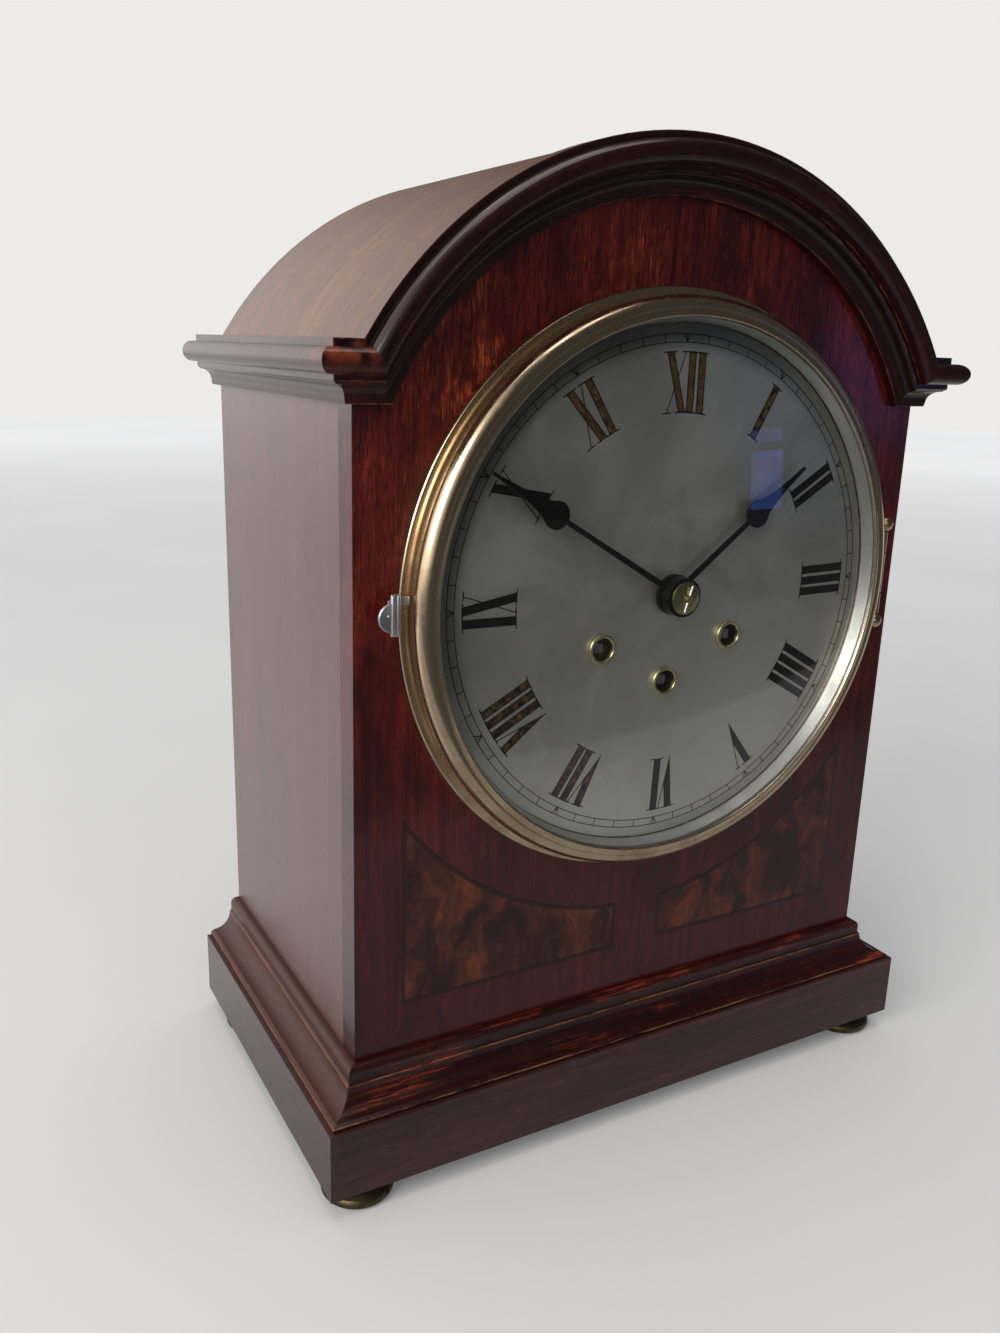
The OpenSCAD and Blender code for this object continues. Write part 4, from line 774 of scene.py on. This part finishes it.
def cut_stroke(head, foot, wide):
    """One stroke, in millimetres: a strip leaned from head to foot and cut off by the two circles."""
    tall = NUMERAL_HEAD - NUMERAL_FOOT
    lean = math.atan2(head - foot, tall)
    centre = (0, (NUMERAL_HEAD + NUMERAL_FOOT) / 2, 0)
    bpy.ops.mesh.primitive_plane_add(size=1, location=centre)
    bpy.ops.transform.resize(value=(wide * math.cos(lean), tall + 4, 1), center_override=centre)
    bpy.ops.transform.rotate(value=lean, orient_axis="Z", center_override=centre)
    bpy.ops.transform.translate(value=((head + foot) / 2, 0, 0))
    for at, circle, outward in ((head, NUMERAL_HEAD, 1), (foot, NUMERAL_FOOT, -1)):
        up = math.sqrt(circle ** 2 - at ** 2)
        bpy.ops.mesh.bisect(plane_co=(at, up, 0), plane_no=(outward * at / circle, outward * up / circle, 0),
                            clear_outer=True)
        bpy.ops.mesh.select_linked()


# Every figure was set out by hand, so each has its own places at head and foot: the thick strokes, then
# the V, by its left corner, its point and the head of its hair line, then the hair line of the X.
NUMERALS = {
    1: ([(0.2, 0.8)], None, None), 2: ([(-2.3, -1.6), (2.4, 2.9)], None, None),
    3: ([(-4.9, -4.4), (-0.2, 0.2), (4.5, 4.7)], None, None),
    4: ([(-7.7, -7.6), (-3.0, -2.9), (1.6, 1.6), (6.1, 6.2)], None, None),
    5: ([], (-5.3, -2.1, 2.2), None), 6: ([(0.7, -0.1)], (-8.6, -6.3, -1.8), None),
    7: ([(-0.4, -1.4), (4.2, 3.0)], (-9.8, -7.5, -2.9), None),
    8: ([(-3.1, -3.7), (1.7, 1.1), (6.4, 5.7)], (-12.9, -9.5, -5.8), None),
    9: ([(-4.6, -4.9), (0.0, 3.9)], None, (5.8, -1.9)), 10: ([(-2.6, 5.5)], None, (4.8, -3.3)),
    11: ([(-5.7, -0.2), (3.1, 4.3)], None, (0.0, -6.5)),
    12: ([(-7.3, -0.3), (3.2, 3.3), (7.8, 8.0)], None, (0.1, -7.3)),
}
RUBBED = {12: 1.0, 11: 0.8, 1: 0.75, 8: 0.6, 7: 0.62, 10: 0.35, 9: 0.25}


def serif_spans(ends, past):
    """The runs of serif that join strokes standing close together."""
    spans = []
    for low, high in sorted(ends):
        low, high = low - past, high + past
        if spans and low <= spans[-1][1]:
            spans[-1][1] = max(spans[-1][1], high)
        else:
            spans.append([low, high])
    return spans


def wax(name, bare):
    """Black wax in a cut stroke; where it is rubbed, brown shows between its two dark edges."""
    material, tree, shader = finish(name)
    across = parts(tree, lay(tree, "UVMap", uv_map="UVMap").outputs[0])[0]
    edge = figure(tree, "ABSOLUTE", figure(tree, "SUBTRACT", across, 0.5))
    lumps = strewn(tree, millimetres(tree), (0.42, 0.42, 0.42), 4, 0.7, 0.4)
    chips = remap(tree, strewn(tree, millimetres(tree), (0.55, 0.55, 0.55), 2, 0.5), 0.68, 0.74)
    hollow = times(tree, remap(tree, edge, 0.40, 0.30),
                   remap(tree, lumps, 0.75 - 0.55 * bare, 0.85 - 0.45 * bare, 0.0, 1.0))
    black = tint(tree, lumps, (0.0015, 0.0014, 0.0013), (0.006, 0.005, 0.0045))
    brown = tint(tree, remap(tree, lumps, 0.35, 0.68), (0.040, 0.018, 0.006), (0.150, 0.085, 0.030))
    brown = tint(tree, times(tree, chips, 0.6), brown, (0.34, 0.27, 0.17))
    wire(tree, shader, Base_Color=tint(tree, times(tree, hollow, 0.9), black, brown),
         Roughness=remap(tree, lumps, 0.3, 0.7, 0.42, 0.62), Specular_IOR_Level=0.12)
    return material


def fill_with_wax():
    """Gives the engraved lines the thickness of their wax, from just in front of the dial into its face."""
    bpy.ops.object.mode_set(mode="EDIT")
    bpy.ops.mesh.select_all(action="SELECT")
    bpy.ops.mesh.extrude_region_move(TRANSFORM_OT_translate={"value": (0, WAX_PROUD + WAX_SUNK, 0)})
    bpy.ops.mesh.select_all(action="SELECT")
    bpy.ops.mesh.normals_make_consistent(inside=False)
    bpy.ops.object.mode_set(mode="OBJECT")


line_wax, worn_wax = wax("black_wax", -1.0), {}
figures = []
for hour, (strokes, vee, hair) in NUMERALS.items():
    bare = RUBBED.get(hour, -1.0)
    if bare not in worn_wax:
        worn_wax[bare] = wax(f"rubbed_wax_{len(worn_wax)}", bare)
    numeral = open_piece(f"numeral_{hour}")
    numeral.data.materials.append(line_wax)
    numeral.data.materials.append(worn_wax[bare])
    heads, feet = [], []
    for head, foot in strokes:
        cut_stroke(head, foot, THICK)
        heads.append((head - THICK / 2, head + THICK / 2))
        feet.append((foot - THICK / 2, foot + THICK / 2))
    if vee:
        corner, point, tip = vee
        cut_stroke(corner + THICK / 2, point + THICK / 2, THICK)
        past_hair = Vector((NUMERAL_HEAD - NUMERAL_FOOT, point - tip, 0)).normalized()
        bpy.ops.mesh.bisect(plane_co=(point, NUMERAL_FOOT, 0), plane_no=past_hair, clear_outer=True)
        cut_stroke(tip, point, THIN)
        heads += [(corner, corner + THICK), (tip, tip)]
    if hair:
        cut_stroke(hair[0], hair[1], THIN)
        heads.append((hair[0] - HAIR_HEAD, hair[0] + HAIR_HEAD))
        feet.append((hair[1] - HAIR_FOOT, hair[1] + HAIR_FOOT))
    for circle, inward, ends in ((NUMERAL_HEAD, -1, heads), (NUMERAL_FOOT, 1, feet)):
        for low, high in serif_spans(ends, PAST):
            start, stop = math.asin(low / circle), math.asin(high / circle)
            bpy.ops.mesh.select_all(action="DESELECT")
            bpy.ops.mesh.primitive_circle_add(vertices=64, radius=circle)
            bpy.ops.mesh.extrude_edges_move()
            bpy.ops.transform.resize(value=[1 + inward * SERIF / circle] * 3, center_override=(0, 0, 0))
            bpy.ops.mesh.select_linked()
            for side, way in ((start, -1), (stop, 1)):
                past_end = (way * math.cos(side), -way * math.sin(side), 0)
                bpy.ops.mesh.bisect(plane_co=(0, 0, 0), plane_no=past_end, clear_outer=True)
                bpy.ops.mesh.select_linked()
            bpy.ops.mesh.bisect(plane_co=(0, 0, 0), plane_no=(0, -1, 0), clear_outer=True)
    bpy.ops.mesh.select_all(action="SELECT")
    bpy.ops.object.mode_set(mode="OBJECT")
    # Only the broad faces of the thick strokes have worn.
    for face in numeral.data.polygons:
        corners = [numeral.data.vertices[i].co for i in face.vertices]
        wide, tall = (max(c[k] for c in corners) - min(c[k] for c in corners) for k in (0, 1))
        face.material_index = 1 if tall > 10 and wide > 1.5 and face.area > 20 else 0
    numeral.scale = (0.001, 0.001, 0.001)
    numeral.rotation_euler = (math.pi / 2, math.radians(hour * 30), 0)
    numeral.location = (0, TRACK_FACE - WAX_PROUD, DIAL_HEIGHT / 1000)
    bpy.ops.object.transform_apply()
    figures.append(numeral)
for numeral in figures:
    numeral.select_set(True)
bpy.context.view_layer.objects.active = figures[0]
bpy.ops.object.join()
numerals = figures[0]
numerals.name = "hour_numerals"
fill_with_wax()
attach(numerals, "case")


# The minute track: two fine circles with a tick for every minute and a small arrow at each five,
# engraved outside the numerals and filled with the same black wax.
RING_IN, RING_OUT, RING_LINE = 94.4, 97.4, 0.36
ARROW_WIDE, ARROW_LONG, ARROW_LEAN, ARROW_OUT = 0.42, 3.1, 0.48, 0.76
track = open_piece("minute_track")
for ring in (RING_IN, RING_OUT):
    bpy.ops.mesh.primitive_circle_add(vertices=240, radius=ring)
    bpy.ops.mesh.extrude_edges_move()
    bpy.ops.transform.resize(value=[1 + RING_LINE / ring] * 3, center_override=(0, 0, 0))
    bpy.ops.mesh.select_all(action="DESELECT")
middle = (RING_IN + RING_LINE + RING_OUT) / 2
bpy.ops.mesh.primitive_plane_add(size=1, location=(0, middle, 0))
bpy.ops.transform.resize(value=(RING_LINE, RING_OUT - RING_IN - RING_LINE, 1), center_override=(0, middle, 0))
bpy.ops.mesh.spin(steps=60, dupli=True, angle=math.tau, center=(0, 0, 0), axis=(0, 0, 1))
for side in (-1, 1):
    bpy.ops.mesh.select_all(action="DESELECT")
    bpy.ops.mesh.primitive_plane_add(size=1, location=(0, middle, 0))
    bpy.ops.transform.resize(value=(ARROW_WIDE, ARROW_LONG, 1), center_override=(0, middle, 0))
    bpy.ops.transform.rotate(value=side * ARROW_LEAN, orient_axis="Z", center_override=(0, middle, 0))
    bpy.ops.transform.translate(value=(side * ARROW_OUT, 0, 0))
    bpy.ops.mesh.spin(steps=12, dupli=True, angle=math.tau, center=(0, 0, 0), axis=(0, 0, 1))
bpy.ops.mesh.select_all(action="SELECT")
bpy.ops.mesh.remove_doubles(threshold=0.0001)
stand_up(track, front=(TRACK_FACE - WAX_PROUD) * 1000)
fill_with_wax()
track.data.materials.append(line_wax)
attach(track, "case")


# The winding holes: turned brass collars pressed into the dial, bright on their rims and black inside,
# with the squared steel ends of the winding arbors standing in them.
collar_brass = metal("bright_brass", (0.66, 0.58, 0.36), (0.36, 0.29, 0.15), 0.3, 0.20, depth=0.000008)
dress(["winding_collars"], collar_brass)
arbor_steel = metal("arbor_steel", (0.30, 0.30, 0.31), (0.11, 0.10, 0.10), 0.7, 0.30)
dress(["going_winder", "strike_winder", "chime_winder"], arbor_steel)


# The hands: steel cut with pear tips, filed, polished and blued almost to black, held by a domed brass
# collet and a taper pin. The bluing is thin and a little browned in patches.
PIN_BACK = -88.15
hand_steel = metal("blued_steel", (0.014, 0.015, 0.020), (0.026, 0.020, 0.017), 0.6, 0.30,
                   depth=0.00001)
dress(["minute_hand", "hour_hand"], hand_steel)

collet_brass = metal("collet_brass", (0.44, 0.40, 0.20), (0.20, 0.18, 0.08), 0.6, 0.16, depth=0.00001)
tree, shader = collet_brass.node_tree, collet_brass.node_tree.nodes["Principled BSDF"]
domed = shader.inputs["Base Color"].links[0].from_socket
pinned = figure(tree, "LESS_THAN", parts(tree, millimetres(tree))[1], PIN_BACK)
wire(tree, shader, Base_Color=tint(tree, pinned, domed, (0.78, 0.77, 0.73)))
dress(["hand_collet"], collet_brass)


# The movement: thick brass plates on turned pillars with three trains of brass wheels between them.
# Everything is hand finished, lacquered long ago and dulled to a soft yellow; the steel is left bright.
train_brass = metal("movement_brass", (0.74, 0.55, 0.26), (0.42, 0.27, 0.10), 0.5, 0.24)
dress(["front_plate", "back_plate", "suspension", "chime_frame", "centre_arbor", "minute_wheel", "hour_wheel",
       "third_wheel", "escape_wheel", "going_barrel", "strike_barrel", "chime_barrel", "strike_wheel",
       "strike_fly", "chime_wheel", "chime_fly", "chime_drum", "pendulum"], train_brass)
train_steel = metal("movement_steel", (0.52, 0.52, 0.53), (0.26, 0.24, 0.22), 0.5, 0.26)
dress(["clicks", "anchor"], train_steel)


# The chime: an iron block screwed to the base holds four bronze rods, and four brass hammers strike
# them. The block is japanned black; the rods are dark and dry.
dress(["gong_block"], metal("japanned_iron", (0.045, 0.045, 0.045), (0.020, 0.018, 0.016), 0.8, 0.42))
dress(["gong_rods"], metal("rod_bronze", (0.46, 0.30, 0.16), (0.22, 0.13, 0.07), 0.8, 0.34))
dress([f"hammer_{number}" for number in (1, 2, 3, 4)], train_brass)


# The seat board and the base board: plain deal, unpolished, browned with age, that nobody sees until
# the door in the back is open.
deal, tree, shader = finish("plain_deal")
wood = grain(tree, millimetres(tree, turn=(0, 90, 0)), Dark=(0.10, 0.055, 0.026),
             Ground=(0.19, 0.115, 0.060), Light=(0.27, 0.175, 0.095), Flame=(0.25, 0.15, 0.07),
             Flame_amount=0.2, Pores=0.3)
polish(tree, shader, wood, dull=0.5, skin=0.0)
dress(["seat_board", "base_board"], deal)


# The fittings of the back: brass butt hinges let in flush, each leaf held by three slotted screws, and a
# small turned knob on a catch, with a round brass plate behind it.
BACK_FACE, HINGE_LINE, LEAF_MIDDLE = 82.6, 102.0, 6.3
HINGE_HEIGHTS, SCREW_STEP, SCREW_RADIUS = (115.0, 290.2), 11.0, 1.7
hinge_brass = metal("hinge_brass", (0.80, 0.60, 0.32), (0.42, 0.27, 0.12), 0.5, 0.24)
dress(["rear_hinges", "rear_door_leaves", "rear_knob"], hinge_brass)


def slotted_screw(x, y, radius, slant):
    """A domed screw head with its slot cut to a depth, in the open piece."""
    chamfer, dome, slot_half = radius * 0.22, radius * 0.12, radius * 0.14
    bpy.ops.mesh.select_all(action="DESELECT")
    bpy.ops.mesh.primitive_circle_add(vertices=32, radius=radius, location=(x, y, -0.2), fill_type="NGON")
    bpy.ops.mesh.extrude_region_move(TRANSFORM_OT_translate={"value": (0, 0, 0.4)})
    bpy.ops.mesh.inset(thickness=chamfer)
    bpy.ops.transform.translate(value=(0, 0, dome))
    side = Vector((-math.sin(slant), math.cos(slant), 0))
    for way in (-1, 1):
        edge = Vector((x, y, 0)) + side * way * slot_half
        bpy.ops.mesh.bisect(plane_co=edge, plane_no=side)
        bpy.ops.mesh.select_linked()
    bpy.ops.mesh.select_all(action="DESELECT")
    bpy.ops.object.mode_set(mode="OBJECT")
    for face in bpy.context.object.data.polygons:
        off = face.center - Vector((x, y, face.center.z))
        face.select = off.length < radius * 0.1 and face.center.z > 0.2
    bpy.ops.object.mode_set(mode="EDIT")
    bpy.ops.mesh.extrude_region_move(TRANSFORM_OT_translate={"value": (0, 0, -0.3)})


for name, body, across in (("frame_leaf_screws", "case", LEAF_MIDDLE),
                           ("door_leaf_screws", "rear_door", -LEAF_MIDDLE)):
    screws = open_piece(name)
    for height in HINGE_HEIGHTS:
        for step, slant in ((-SCREW_STEP, 0.4), (0.0, 1.9), (SCREW_STEP, 1.1)):
            slotted_screw(HINGE_LINE + across, height + step, SCREW_RADIUS, slant)
    stand_up(screws, 0, 0, BACK_FACE, facing=math.pi)
    close_up(screws)
    screws.data.materials.append(hinge_brass)
    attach(screws, body)


# The pillar screws: four polished steel screws, each on a turned brass washer, that hold the back plate
# of the movement to its pillars. They are seen when the door in the back stands open.
PLATE_BACK, WASHER_FACE, HEAD_RADIUS = -1.1, -0.2, 3.0
WASHER = ((0.2, 0.0), (4.2, 0.0), (4.2, 0.55), (3.9, 0.8), (0.2, 0.8))
PILLARS = ((-60, -70, 0.3), (60, -70, 1.2), (-60, 66, 2.2), (60, 66, 0.9))
pillar_screws = open_piece("pillar_screws")
for x, y, _ in PILLARS:
    turn([(x + r, y, out) for r, out in WASHER], (x, y, 0), (0, 0, 1), 40)
stand_up(pillar_screws, front=PLATE_BACK, facing=math.pi)
close_up(pillar_screws)
pillar_screws.data.materials.append(train_brass)
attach(pillar_screws, "case")
plate_screws = open_piece("plate_screws")
for x, y, slant in PILLARS:
    slotted_screw(x, y, HEAD_RADIUS, slant)
stand_up(plate_screws, front=WASHER_FACE, facing=math.pi)
close_up(plate_screws)
plate_screws.data.materials.append(train_steel)
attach(plate_screws, "case")
